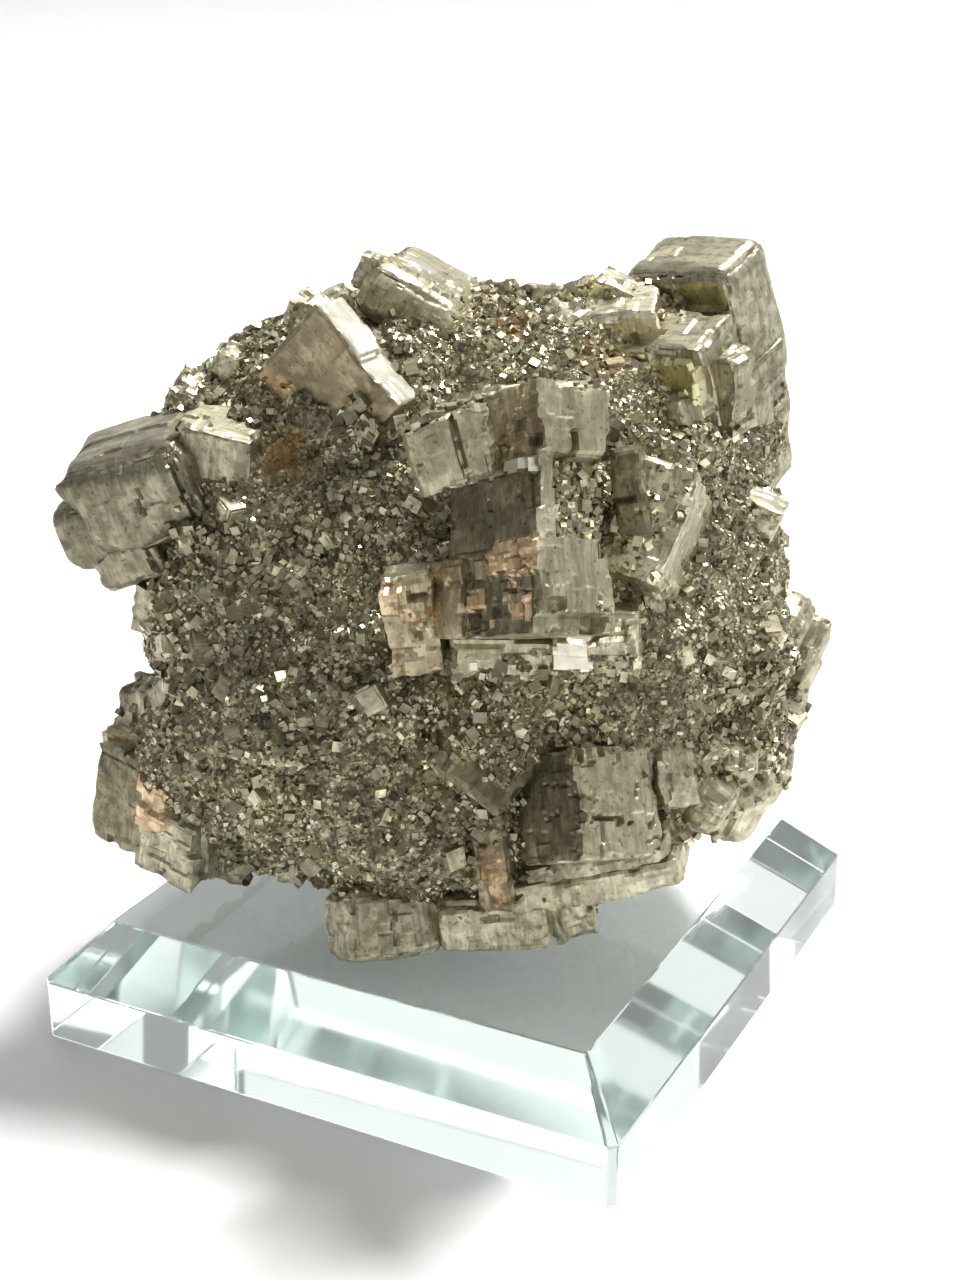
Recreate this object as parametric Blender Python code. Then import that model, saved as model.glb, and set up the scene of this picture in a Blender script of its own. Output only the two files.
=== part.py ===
"""A cluster of intergrown pyrite crystals resting on a clear, bevelled display base.

Lengths are in millimetres and are turned into metres as the meshes are made. The origin
is at the centre of the base's underside, +Z points up, and the base's sides run along X
and Y. The cluster's broad face looks to the front right and a little upwards.
"""

import math
import random
from dataclasses import dataclass

import bmesh
import bpy
from mathutils import Euler, Matrix, Vector, noise

MM = 0.001

# The clear base: a square block whose top edge is bevelled wide all round.
BASE_SIDE = 101.6
BASE_THICKNESS = 19.05
BASE_UPRIGHT_EDGE = 10.2
BASE_BEVEL_RUN = 8.5
BASE_CORNER_CUT = 1.2
BASE_TOP_CORNER_CUT = 0.5
BASE_ARRIS = 0.25

# The cluster stands this far off the base, so that the two solids never overlap.
SEAT_GAP = 0.3
SEAT_HEIGHT = BASE_THICKNESS + SEAT_GAP

# The core is measured round the direction in which its broad face looks.
CORE_CENTRE = Vector((-2.0, -1.0, 69.5))
FACE_AZIMUTH = math.radians(-62.6)
FACE_RISE = math.radians(21.7)
# Radii of the core's outline, seen square to the broad face: every 15 degrees,
# anticlockwise from the right-hand side.
OUTLINE_RADII = (
    53, 54, 59, 62, 56, 49, 47, 49, 50, 52, 53, 51,
    49, 49, 56, 57, 52, 52, 52, 54, 55, 56, 60, 59,
)
CORE_FRONT_DEPTH = 35.0
CORE_BACK_DEPTH = 44.0
CORE_FULLNESS = 0.8
CORE_SUBDIVISIONS = 4
LUMP_SPACING = 17.0
LUMP_HEIGHT = 2.6
# Fine lumps, closer than the mesh's own spacing, leave the core covered in rough facets.
ROUGH_SPACING = 4.0
ROUGH_HEIGHT = 2.4
# The core swells under the centre crystals: the way to the swelling's top from the
# core's centre, its height, and the angle at which it has died away.
SWELL_WAY = Vector((29.0, -28.0, 22.0)).normalized()
SWELL_HEIGHT = 9.5
SWELL_REACH = math.radians(36)

# Small crystals grown all over the core, on top of the ones placed by name.
SEED = 27
SMALL_CRYSTALS = 196
SMALL_CRYSTAL_SIDE = (2.8, 5.2)
SMALL_CRYSTAL_SUNK = 0.14
SPIRAL_TURN = math.radians(137.508)
SPIRAL_STRAY = math.radians(6)


@dataclass(frozen=True)
class Crystal:
    """A blocky crystal: its centre and size in mm, its tilt in degrees, its edge wear in mm."""

    name: str
    centre: tuple
    size: tuple
    tilt: tuple
    worn: float = 0.0
    ledges: tuple = ()


@dataclass(frozen=True)
class Ledge:
    """A growth plate that stands off one face of a crystal.

    The face is an axis letter and a sign, spans are fractions of that face from its low
    to its high side along the two other axes, and the rise is in mm.
    """

    face: str
    across: tuple
    along: tuple
    rise: float


TOP_RIGHT_TILT = (19, -5, -11)
CENTRE_TILT = (-13, -21, -25.5)
LOW_RIGHT_TILT = (-15, -26, -22)
LOW_LEFT_TILT = (-2, 9, -8)
LEFT_TILT = (7, -18, 11)

MAIN_CRYSTALS = (
    Crystal("top_right_block", (30.5, 26.5, 111.5), (20.5, 14, 24), TOP_RIGHT_TILT, 1.6, (
        Ledge("-y", (0.05, 0.7), (0.55, 0.78), 1.2),
        Ledge("+x", (0.1, 0.8), (0.1, 0.55), 0.8),
        Ledge("+z", (0.0, 0.6), (0.2, 1.0), 0.7),
    )),
    Crystal("centre_block", (28.5, -32.5, 98.5), (22, 12, 29), CENTRE_TILT, 0.3, (
        Ledge("+x", (0.05, 0.62), (0.0, 0.52), 1.0),
        Ledge("-y", (0.35, 1.0), (0.28, 0.6), 1.1),
        Ledge("-y", (0.6, 0.98), (0.05, 0.25), 1.6),
        Ledge("+z", (0.0, 0.55), (0.1, 0.9), 0.9),
    )),
    Crystal("centre_plate", (20.5, -41.5, 107), (13, 5.5, 11), (-2, -15, 39), 0.3, (
        Ledge("-y", (0.0, 0.56), (0.05, 1.0), 0.6),
    )),
    Crystal("upper_left_slab", (-9, -21.5, 107), (19.5, 5.5, 19.5), (4, -44, -9), 0.25, (
        Ledge("-y", (0.3, 1.0), (0.15, 0.8), 0.6),
    )),
    Crystal("left_block", (-37.5, -30.5, 92.5), (21.5, 19, 12.5), LEFT_TILT, 1.6, (
        Ledge("+z", (0.1, 0.9), (0.35, 1.0), 0.9),
        Ledge("-y", (0.25, 1.0), (0.0, 0.7), 0.7),
    )),
    Crystal("low_left_block", (-35, -36, 38), (20, 10, 13.5), LOW_LEFT_TILT, 0.6, (
        Ledge("-y", (0.45, 1.0), (0.0, 0.72), 0.9),
        Ledge("+z", (0.0, 0.45), (0.0, 0.6), 1.5),
    )),
    Crystal("top_block", (-8.5, 4.5, 115.5), (16, 23, 8.5), (-2, 27, 16), 1.4, (
        Ledge("+z", (0.1, 0.8), (0.15, 0.75), 0.7),
    )),
    Crystal("low_right_block", (33.5, -23.5, 49.5), (13, 15, 14), LOW_RIGHT_TILT, 0.4, (
        Ledge("-y", (0.2, 1.0), (0.25, 0.95), 0.8),
        Ledge("+x", (0.0, 0.6), (0.3, 1.0), 0.9),
    )),
    Crystal("foot_block", (3, -32, 25), (11, 16.5, 11), (-9, -26.5, -33), 1.3, (
        Ledge("+z", (0.1, 0.7), (0.2, 0.7), 0.8),
    )),
    Crystal("right_plate", (37.5, -6.5, 88), (9, 22.5, 13.5), (-35, 11.5, 5), 0.3, (
        Ledge("+x", (0.1, 0.75), (0.1, 0.8), 0.5),
    )),
)

SIDE_CRYSTALS = (
    Crystal("top_right_step", (32.5, 8, 110.5), (15, 10, 11), TOP_RIGHT_TILT, 0.4),
    Crystal("top_right_heel", (42, 17, 98), (8.5, 10, 14), TOP_RIGHT_TILT, 0.5),
    Crystal("top_right_bud", (20, 14.5, 116.5), (7, 7, 6), (10, 20, 5)),
    Crystal("centre_foot", (28.5, -28, 77), (27, 13, 7), (-8, -2, 22), 0.2, (
        Ledge("-y", (0.55, 0.8), (0.1, 0.9), 1.2),
        Ledge("-y", (0.02, 0.3), (0.0, 0.55), 0.8),
    )),
    Crystal("centre_left_step", (12.5, -37.5, 79.5), (7, 7, 13), (-3, -8, 20), 0.2, (
        Ledge("-y", (0.0, 0.6), (0.3, 0.9), 0.8),
    )),
    Crystal("upper_left_bud", (-18.5, -14, 115.5), (6, 6, 6), (20, 30, 10), 0.5),
    Crystal("upper_left_crumb", (-16.5, -8.5, 116), (5, 5, 5), (10, -20, 30)),
    Crystal("top_cap", (-12.5, -4, 120.5), (5.5, 5.5, 5.5), (0, 20, 20), 0.6),
    Crystal("left_side_block", (-24.5, -28, 97), (11, 9, 10), (10, 8, 12), 0.3),
    Crystal("left_underside_block", (-39.5, -34, 80.5), (9, 9, 6), LEFT_TILT, 0.6),
    Crystal("left_rim_block", (-35.5, -31.5, 71.5), (7, 8, 9), (10, 20, 0)),
    Crystal("left_rim_step", (-36, -31.5, 60), (7, 8, 9), (0, 5, 10), 0.2),
    Crystal("left_rim_ledge", (-38.5, -33, 50), (9, 8, 6), (0, 5, 5), 0.2),
    Crystal("low_left_bud", (-26.5, -28.5, 27.5), (6, 6, 6), (0, 10, 20), 0.4),
    Crystal("low_left_crumb", (-15, -30.5, 30.5), (5, 5, 6), (10, 0, 10)),
    Crystal("low_right_ledge", (33.5, -18.5, 36), (26, 14, 5), (0, -16, 18), 0.3),
    Crystal("low_right_step", (40.5, -13, 50.5), (7, 7, 9), LOW_RIGHT_TILT, 0.2),
    Crystal("right_heel", (43.5, 5, 40.5), (11, 10, 10), (10, 20, 30), 1.0),
    Crystal("low_centre_post", (21, -27.5, 38.5), (6, 7, 12), (-6, -10, 10), 0.2),
    Crystal("foot_step", (18.5, -24, 27), (17, 11, 8), (0, -5, 20), 0.6),
    Crystal("foot_bud", (27.5, -17, 26.5), (8, 8, 8), (0, -16, 30), 0.5),
    Crystal("right_prism", (35.5, -13, 93), (6, 9, 19), (-10, -12, 20), 0.3),
    Crystal("right_rim_cube", (44.5, 14, 84.5), (8, 8, 7), (0, 20, 10), 0.3),
    Crystal("right_rim_bud", (49, 19, 64), (6, 8, 7), (0, 20, 10), 0.4),
    Crystal("right_rim_block", (49.5, 25, 58.5), (6, 9, 8), (-38, 13, 3), 0.4),
    Crystal("right_rim_step", (49, 19, 51), (5, 7, 7), (10, 20, 20), 0.3),
    Crystal("right_rim_foot", (47, 15.5, 42), (7, 8, 9), (10, 20, 20), 0.5),
    Crystal("shoulder_cube", (-36, -21, 102.5), (6, 6.5, 6), (20, 20, 10)),
    Crystal("shoulder_bud", (-30.5, -16, 106.5), (6.5, 7, 5), (0, 30, 10)),
)

BACK_CRYSTALS = (
    Crystal("back_upper_block", (-16, 33, 93), (19, 15, 16), (-22, 14, 24), 0.5, (
        Ledge("+y", (0.1, 0.7), (0.2, 0.9), 0.9),
    )),
    Crystal("back_middle_block", (14, 40, 74), (17, 13, 20), (8, -18, 38), 0.5, (
        Ledge("+y", (0.3, 1.0), (0.0, 0.6), 1.0),
    )),
    Crystal("back_left_block", (-41, 18, 73), (14, 17, 15), (12, 10, -30), 0.6, (
        Ledge("-x", (0.2, 0.9), (0.1, 0.7), 0.8),
    )),
    Crystal("back_low_block", (-14, 38, 45), (18, 14, 13), (15, 12, -12), 0.6),
    Crystal("back_right_block", (33, 34, 54), (14, 14, 15), (0, 22, 25), 0.5, (
        Ledge("+x", (0.0, 0.6), (0.3, 1.0), 0.8),
    )),
    Crystal("back_left_foot", (-33, 13, 39), (12, 13, 12), (6, -14, 15), 0.6),
    Crystal("back_top_plate", (6, 24, 110), (14, 12, 9), (-14, 9, 33), 0.4),
    Crystal("back_shoulder_block", (-29, 7, 102), (12, 11, 11), (-12, -20, 18), 0.5),
    Crystal("back_bud", (-31, 33, 60), (8, 8, 8), (25, 10, 5), 0.3),
    Crystal("back_rim_bud", (27, 38, 86), (9, 8, 8), (-20, 15, 0), 0.3),
    Crystal("back_foot", (-3, 22, 26), (16, 12, 12), (4, 6, 20), 0.6),
)

# Hollows between the crystals, and slots where growth plates left a gap.
PITS = (
    Crystal("hollow_over_low_right_block", (28, -26, 58.5), (7, 9, 4), LOW_RIGHT_TILT),
    Crystal("hollow_beside_low_centre_post", (24, -28.5, 47.5), (4, 9, 7), (-6, -10, 10)),
    Crystal("hollow_over_low_left_block", (-30.5, -32, 43.5), (7, 8, 5), LOW_LEFT_TILT),
    Crystal("right_hollow", (47.5, -4.5, 58), (5, 5, 5), (10, 20, 20)),
    Crystal("right_rim_gap", (52, 12.5, 56.5), (7, 4, 9), (0, 10, 10)),
    Crystal("low_right_long_slot", (41, -21.5, 44.5), (6, 6, 1.2), LOW_RIGHT_TILT),
    Crystal("top_right_slot", (43, 13, 105), (4, 1.2, 4.5), TOP_RIGHT_TILT),
    Crystal("centre_hollow", (18.5, -40.5, 96.5), (5, 6, 4), CENTRE_TILT),
    Crystal("centre_foot_slot", (24, -36.5, 81), (2.2, 5, 4), (-8, -2, 22)),
    Crystal("upper_left_notch", (-15, -24, 109.5), (4, 6, 4), (4, -44, -9)),
)

PYRITE_COLOUR = (0.46, 0.41, 0.29, 1.0)
CLEAR_COLOUR = (0.86, 0.93, 0.93, 1.0)


def clear_scene():
    """Remove every object that the file starts with."""
    for obj in list(bpy.data.objects):
        bpy.data.objects.remove(obj, do_unlink=True)


def make_material(name, colour, roughness, metallic=0.0, transmission=0.0, ior=1.5):
    """Return a Principled material."""
    material = bpy.data.materials.new(name)
    material.use_nodes = True
    shader = material.node_tree.nodes["Principled BSDF"]
    shader.inputs["Base Color"].default_value = colour
    shader.inputs["Roughness"].default_value = roughness
    shader.inputs["Metallic"].default_value = metallic
    shader.inputs["Transmission Weight"].default_value = transmission
    shader.inputs["IOR"].default_value = ior
    material.diffuse_color = colour
    return material


def make_object(name, bm, material=None, helper=False):
    """Turn a bmesh into an object; a helper only shapes others and isn't part of the model."""
    mesh = bpy.data.meshes.new(name)
    bm.to_mesh(mesh)
    bm.free()
    obj = bpy.data.objects.new(name, mesh)
    bpy.context.scene.collection.objects.link(obj)
    if material is not None:
        mesh.materials.append(material)
    if helper:
        obj.hide_render = True
        obj.display_type = "WIRE"
    return obj


def core_axes():
    """Return the unit directions right, up and front of the core's broad face."""
    front = Vector((
        math.cos(FACE_RISE) * math.cos(FACE_AZIMUTH),
        math.cos(FACE_RISE) * math.sin(FACE_AZIMUTH),
        math.sin(FACE_RISE),
    ))
    right = Vector((0, 0, 1)).cross(front).normalized()
    up = front.cross(right)
    return right, up, front


def outline_radius(angle):
    """Return the outline's radius at an angle in radians, eased between the listed ones."""
    place = math.degrees(angle) % 360 / (360 / len(OUTLINE_RADII))
    step = int(place)
    share = (1 - math.cos((place - step) * math.pi)) / 2
    low = OUTLINE_RADII[step % len(OUTLINE_RADII)]
    high = OUTLINE_RADII[(step + 1) % len(OUTLINE_RADII)]
    return low + (high - low) * share


def core_point(angle, latitude):
    """Return the point of the core at an angle round the broad face and a latitude off its rim."""
    right, up, front = core_axes()
    spread = outline_radius(angle) * max(math.cos(latitude), 0.0) ** CORE_FULLNESS
    depth = CORE_FRONT_DEPTH if latitude > 0 else CORE_BACK_DEPTH
    arm = (right * math.cos(angle) + up * math.sin(angle)) * spread
    arm += front * depth * math.sin(latitude)
    lump = noise.noise((CORE_CENTRE + arm) / LUMP_SPACING) * LUMP_HEIGHT
    lump += noise.noise((CORE_CENTRE + arm) / ROUGH_SPACING) * ROUGH_HEIGHT
    off_swell = min(arm.angle(SWELL_WAY) / SWELL_REACH, 1.0)
    swell = SWELL_HEIGHT * (1 + math.cos(math.pi * off_swell)) / 2
    return CORE_CENTRE + arm + arm.normalized() * (lump + swell)


def core_mesh():
    """Return the core as a closed bmesh of even, rough facets."""
    bm = bmesh.new()
    bmesh.ops.create_icosphere(bm, subdivisions=CORE_SUBDIVISIONS, radius=1.0)
    for vert in bm.verts:
        angle = math.atan2(vert.co.y, vert.co.x)
        latitude = math.asin(max(-1.0, min(1.0, vert.co.z)))
        vert.co = core_point(angle, latitude) * MM
    bmesh.ops.recalc_face_normals(bm, faces=bm.faces)
    return bm


def add_block(bm, placement, size, worn=0.0):
    """Add a box of the given size in mm, with chamfered edges if they are worn."""
    scale = Matrix.Diagonal((*(side * MM for side in size), 1.0))
    made = bmesh.ops.create_cube(bm, size=1.0, matrix=placement @ scale)
    if worn:
        edges = {edge for vert in made["verts"] for edge in vert.link_edges}
        bmesh.ops.bevel(
            bm, geom=list(edges), offset=worn * MM, offset_type="OFFSET", segments=1,
            profile=0.5, affect="EDGES",
        )


def placement_of(centre, tilt):
    """Return the matrix that puts a block at a centre in mm with a tilt in degrees."""
    turn = Euler([math.radians(angle) for angle in tilt], "XYZ").to_matrix().to_4x4()
    return Matrix.Translation(Vector(centre) * MM) @ turn


def add_ledge(bm, crystal, ledge):
    """Add one growth plate, which reaches from inside its crystal to its rise off the face."""
    axis = "xyz".index(ledge.face[1])
    side = 1 if ledge.face[0] == "+" else -1
    spans = {other: span for other, span in zip(
        [index for index in range(3) if index != axis], (ledge.across, ledge.along))}
    centre = [0.0, 0.0, 0.0]
    size = [0.0, 0.0, 0.0]
    for other, (low, high) in spans.items():
        size[other] = (high - low) * crystal.size[other]
        centre[other] = ((low + high) / 2 - 0.5) * crystal.size[other]
    size[axis] = crystal.size[axis] / 2 + ledge.rise
    centre[axis] = side * size[axis] / 2
    placement = placement_of(crystal.centre, crystal.tilt)
    add_block(bm, placement @ Matrix.Translation(Vector(centre) * MM), size)


def add_crystal(bm, crystal):
    """Add a crystal and its growth plates."""
    add_block(bm, placement_of(crystal.centre, crystal.tilt), crystal.size, crystal.worn)
    for ledge in crystal.ledges:
        add_ledge(bm, crystal, ledge)


def add_small_crystals(bm):
    """Add small cubes at seeded random tilts, evenly spread along a spiral round the core."""
    chance = random.Random(SEED)
    for index in range(SMALL_CRYSTALS):
        angle = index * SPIRAL_TURN + chance.uniform(-SPIRAL_STRAY, SPIRAL_STRAY)
        latitude = math.asin(1 - 2 * (index + chance.random()) / SMALL_CRYSTALS)
        side = chance.uniform(*SMALL_CRYSTAL_SIDE)
        size = [side * chance.uniform(0.8, 1.2) for _ in range(3)]
        tilt = [chance.uniform(0, 90) for _ in range(3)]
        seat = core_point(angle, latitude)
        inwards = (CORE_CENTRE - seat).normalized()
        add_block(bm, placement_of(seat + inwards * side * SMALL_CRYSTAL_SUNK, tilt), size)


def keep_largest_body(mesh):
    """Drop every closed shell of the mesh but the largest, such as a pocket sealed inside."""
    bm = bmesh.new()
    bm.from_mesh(mesh)
    unseen = set(bm.verts)
    bodies = []
    while unseen:
        body = set()
        edge_of_body = [unseen.pop()]
        while edge_of_body:
            vert = edge_of_body.pop()
            body.add(vert)
            for edge in vert.link_edges:
                other = edge.other_vert(vert)
                if other in unseen:
                    unseen.remove(other)
                    edge_of_body.append(other)
        bodies.append(body)
    bodies.sort(key=len)
    for body in bodies[:-1]:
        bmesh.ops.delete(bm, geom=list(body), context="VERTS")
    bm.to_mesh(mesh)
    bm.free()


def boolean(target, operand, operation):
    """Add an exact Boolean modifier."""
    modifier = target.modifiers.new(operand.name, "BOOLEAN")
    modifier.operation = operation
    modifier.object = operand
    modifier.solver = "EXACT"
    modifier.use_self = True


def evaluated_mesh(obj):
    """Return the object's mesh with its modifiers applied."""
    graph = bpy.context.evaluated_depsgraph_get()
    graph.update()
    return bpy.data.meshes.new_from_object(obj.evaluated_get(graph), depsgraph=graph)


def build_cluster():
    """Build the crystals and their core as one solid, cut level where it meets the base."""
    pyrite = make_material("pyrite", PYRITE_COLOUR, roughness=0.35, metallic=0.9)
    cluster = make_object("crystal_cluster", core_mesh(), pyrite)
    bm = bmesh.new()
    for crystal in MAIN_CRYSTALS + SIDE_CRYSTALS + BACK_CRYSTALS:
        add_crystal(bm, crystal)
    add_small_crystals(bm)
    crystals = make_object("crystals", bm, helper=True)
    bm = bmesh.new()
    for pit in PITS:
        add_block(bm, placement_of(pit.centre, pit.tilt), pit.size)
    below = Vector((0, 0, (SEAT_HEIGHT - BASE_SIDE) * MM))
    bmesh.ops.create_cube(bm, size=2 * BASE_SIDE * MM, matrix=Matrix.Translation(below))
    cuts = make_object("pits_and_seat", bm, helper=True)
    boolean(cluster, crystals, "UNION")
    boolean(cluster, cuts, "DIFFERENCE")
    mesh = evaluated_mesh(cluster)
    keep_largest_body(mesh)
    mesh.name = "crystal_cluster"
    cluster.modifiers.clear()
    cluster.data = mesh
    return cluster


def corner_cut_square(half, cut):
    """Return the eight corners of a square with its corners cut off, anticlockwise."""
    near = half - cut
    return [
        (half, near), (near, half), (-near, half), (-half, near),
        (-half, -near), (-near, -half), (near, -half), (half, -near),
    ]


def build_base():
    """Build the clear base: a square block with upright edges and a wide bevel above them."""
    clear = make_material("clear_acrylic", CLEAR_COLOUR, 0.03, transmission=1.0, ior=1.49)
    half = BASE_SIDE / 2
    levels = (
        (0.0, half, BASE_CORNER_CUT),
        (BASE_UPRIGHT_EDGE, half, BASE_CORNER_CUT),
        (BASE_THICKNESS, half - BASE_BEVEL_RUN, BASE_TOP_CORNER_CUT),
    )
    bm = bmesh.new()
    rings = []
    for height, reach, cut in levels:
        corners = corner_cut_square(reach, cut)
        rings.append([bm.verts.new(Vector((x, y, height)) * MM) for x, y in corners])
    for low, high in zip(rings, rings[1:]):
        for index in range(len(low)):
            following = (index + 1) % len(low)
            bm.faces.new((low[index], low[following], high[following], high[index]))
    bm.faces.new(rings[0][::-1])
    bm.faces.new(rings[-1])
    bmesh.ops.recalc_face_normals(bm, faces=bm.faces)
    base = make_object("clear_base", bm, clear)
    arris = base.modifiers.new("arris", "BEVEL")
    arris.width = BASE_ARRIS * MM
    arris.segments = 2
    arris.limit_method = "ANGLE"
    arris.angle_limit = math.radians(20)
    return base


def main():
    """Build the whole specimen."""
    clear_scene()
    build_base()
    build_cluster()


main()
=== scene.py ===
"""The looks of a pyrite crystal cluster that rests on a clear, bevelled display base.

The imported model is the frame. Its clear base stays and gets its material, and its crystal
cluster is replaced by finely carved crystals, a rough matrix and a druse of tiny cubes.
Lengths in the tables are in millimetres and are turned into metres as the meshes are made.
"""

from __future__ import annotations

import logging
import math
from dataclasses import dataclass, field
from enum import Enum

import bmesh
import bpy
import numpy as np
from mathutils import Euler, Matrix, Vector, noise
from mathutils.bvhtree import BVHTree
from mathutils.kdtree import KDTree

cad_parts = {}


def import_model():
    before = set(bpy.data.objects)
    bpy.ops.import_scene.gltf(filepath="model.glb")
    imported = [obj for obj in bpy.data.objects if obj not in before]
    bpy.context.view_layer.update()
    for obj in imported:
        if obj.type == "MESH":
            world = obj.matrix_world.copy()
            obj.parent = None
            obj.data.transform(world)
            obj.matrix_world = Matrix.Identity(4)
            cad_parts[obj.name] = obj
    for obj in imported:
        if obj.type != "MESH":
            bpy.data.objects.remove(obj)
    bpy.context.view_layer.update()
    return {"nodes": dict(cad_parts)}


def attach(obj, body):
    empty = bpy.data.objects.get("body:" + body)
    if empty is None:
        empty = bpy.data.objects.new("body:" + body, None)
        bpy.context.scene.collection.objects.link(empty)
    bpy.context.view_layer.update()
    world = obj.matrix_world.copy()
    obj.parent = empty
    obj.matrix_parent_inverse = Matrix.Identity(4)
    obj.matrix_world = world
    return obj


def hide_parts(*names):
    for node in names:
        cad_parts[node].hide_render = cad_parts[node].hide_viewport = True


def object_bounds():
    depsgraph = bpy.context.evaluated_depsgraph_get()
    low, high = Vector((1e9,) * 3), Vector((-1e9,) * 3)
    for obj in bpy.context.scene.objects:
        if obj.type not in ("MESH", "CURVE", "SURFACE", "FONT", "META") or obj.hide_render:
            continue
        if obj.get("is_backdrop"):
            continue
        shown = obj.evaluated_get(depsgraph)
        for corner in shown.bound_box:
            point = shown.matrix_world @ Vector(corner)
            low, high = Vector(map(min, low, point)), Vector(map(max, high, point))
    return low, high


LOG = logging.getLogger("pyrite")
MM = 0.001
ROOT_BODY = "root"

# Nothing of the cluster lies lower than this, in mm: just above the base's top.
SEAT_HEIGHT = 19.12

# A face's growth lines run along one of its axes: up the sides, and from side to side on top.
LINE_ACROSS = (1, 0, 1)
LINE_ALONG = (2, 2, 0)
# Cells along each side of a noise's table of random values.
NOISE_TABLE = 32
# What picks the noise that varies the wear of edges, and the waves that bend the crystals.
WEAR_SEED = 77
WARP_SEED = 5
WARP_WAVES = 9
WARP_PULL = 0.45
WARP_LENGTH = (9, 20)
# Edges of a crystal's mesh above this angle stay sharp.
SHARP_EDGE = math.radians(9)

Triple = tuple[float, float, float]
Span = tuple[float, float]
Socket = bpy.types.NodeSocket


class Slot(Enum):
    """The record's material slots."""

    PYRITE = "pyrite"
    CLEAR = "clear_acrylic"


class Tone(Enum):
    """The tones that a crystal's faces come in; each is a material's number in its mesh."""

    GREY = 0
    COPPER = 1
    # Olive faces: a real olive tint, made brighter as painted light in the recesses where it sits.
    OLIVE_PAINTED_LIGHT = 2
    # Dark faces: real dark tarnish, made darker as painted shade on recessed faces and faces
    # turned away from the light.
    DARK = 3
    # Light, clean faces whose colour is raised as a painted highlight, standing in for the lamps'
    # glints.
    BRIGHT_PAINTED_HIGHLIGHT = 4
    BROWN = 5
    DULL = 6


class Node(Enum):
    """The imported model's nodes."""

    CLUSTER = "crystal_cluster"
    BASE = "clear_base"


@dataclass(frozen=True)
class Ledge:
    """A growth plate that stands off a crystal's face, or a hollow where the rise is negative.

    The face is a sign and an axis letter, and spans are fractions of that face along the
    two other axes.
    """

    face: str
    across: Span
    along: Span
    rise: float
    tone: Tone | None = None
    rag: float = 0.25
    tiles: int = 0


@dataclass(frozen=True)
class Crystal:
    """A blocky crystal: its centre and size in mm, and its tilt in degrees.

    Worn says how rounded its edges are, and stepped and cracked how many of the grower's
    flakes, notches and cracks it bears.
    """

    name: str
    centre: Triple
    size: Triple
    tilt: Triple
    worn: float = 0.0
    ledges: tuple[Ledge, ...] = ()
    stepped: int = 1
    cracked: int = 1
    tone: Tone = Tone.GREY

    def turn(self) -> np.ndarray:
        """Return the crystal's rotation matrix."""
        angles = [math.radians(angle) for angle in self.tilt]
        return np.array(Euler(angles, "XYZ").to_matrix())

    def inside(self, points: np.ndarray, margin: float) -> np.ndarray:
        """Return which points lie inside the crystal.

        Args:
            points: Places in mm.
            margin: How far inside every face a point has to be, in mm.

        Returns:
            One truth value a point.
        """
        local = (points - np.array(self.centre)) @ self.turn()
        return (np.abs(local) < np.array(self.size) / 2 - margin).all(axis=1)


# Crystals that grew side by side share a tilt.
TOP_RIGHT_TILT = (19.0, -5.0, -11.0)
CENTRE_TILT = (-13.0, -21.0, -25.5)
LOW_RIGHT_TILT = (-15.0, -26.0, -22.0)
LOW_LEFT_TILT = (-2.0, 9.0, -8.0)
LEFT_TILT = (7.0, -18.0, 11.0)
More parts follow.
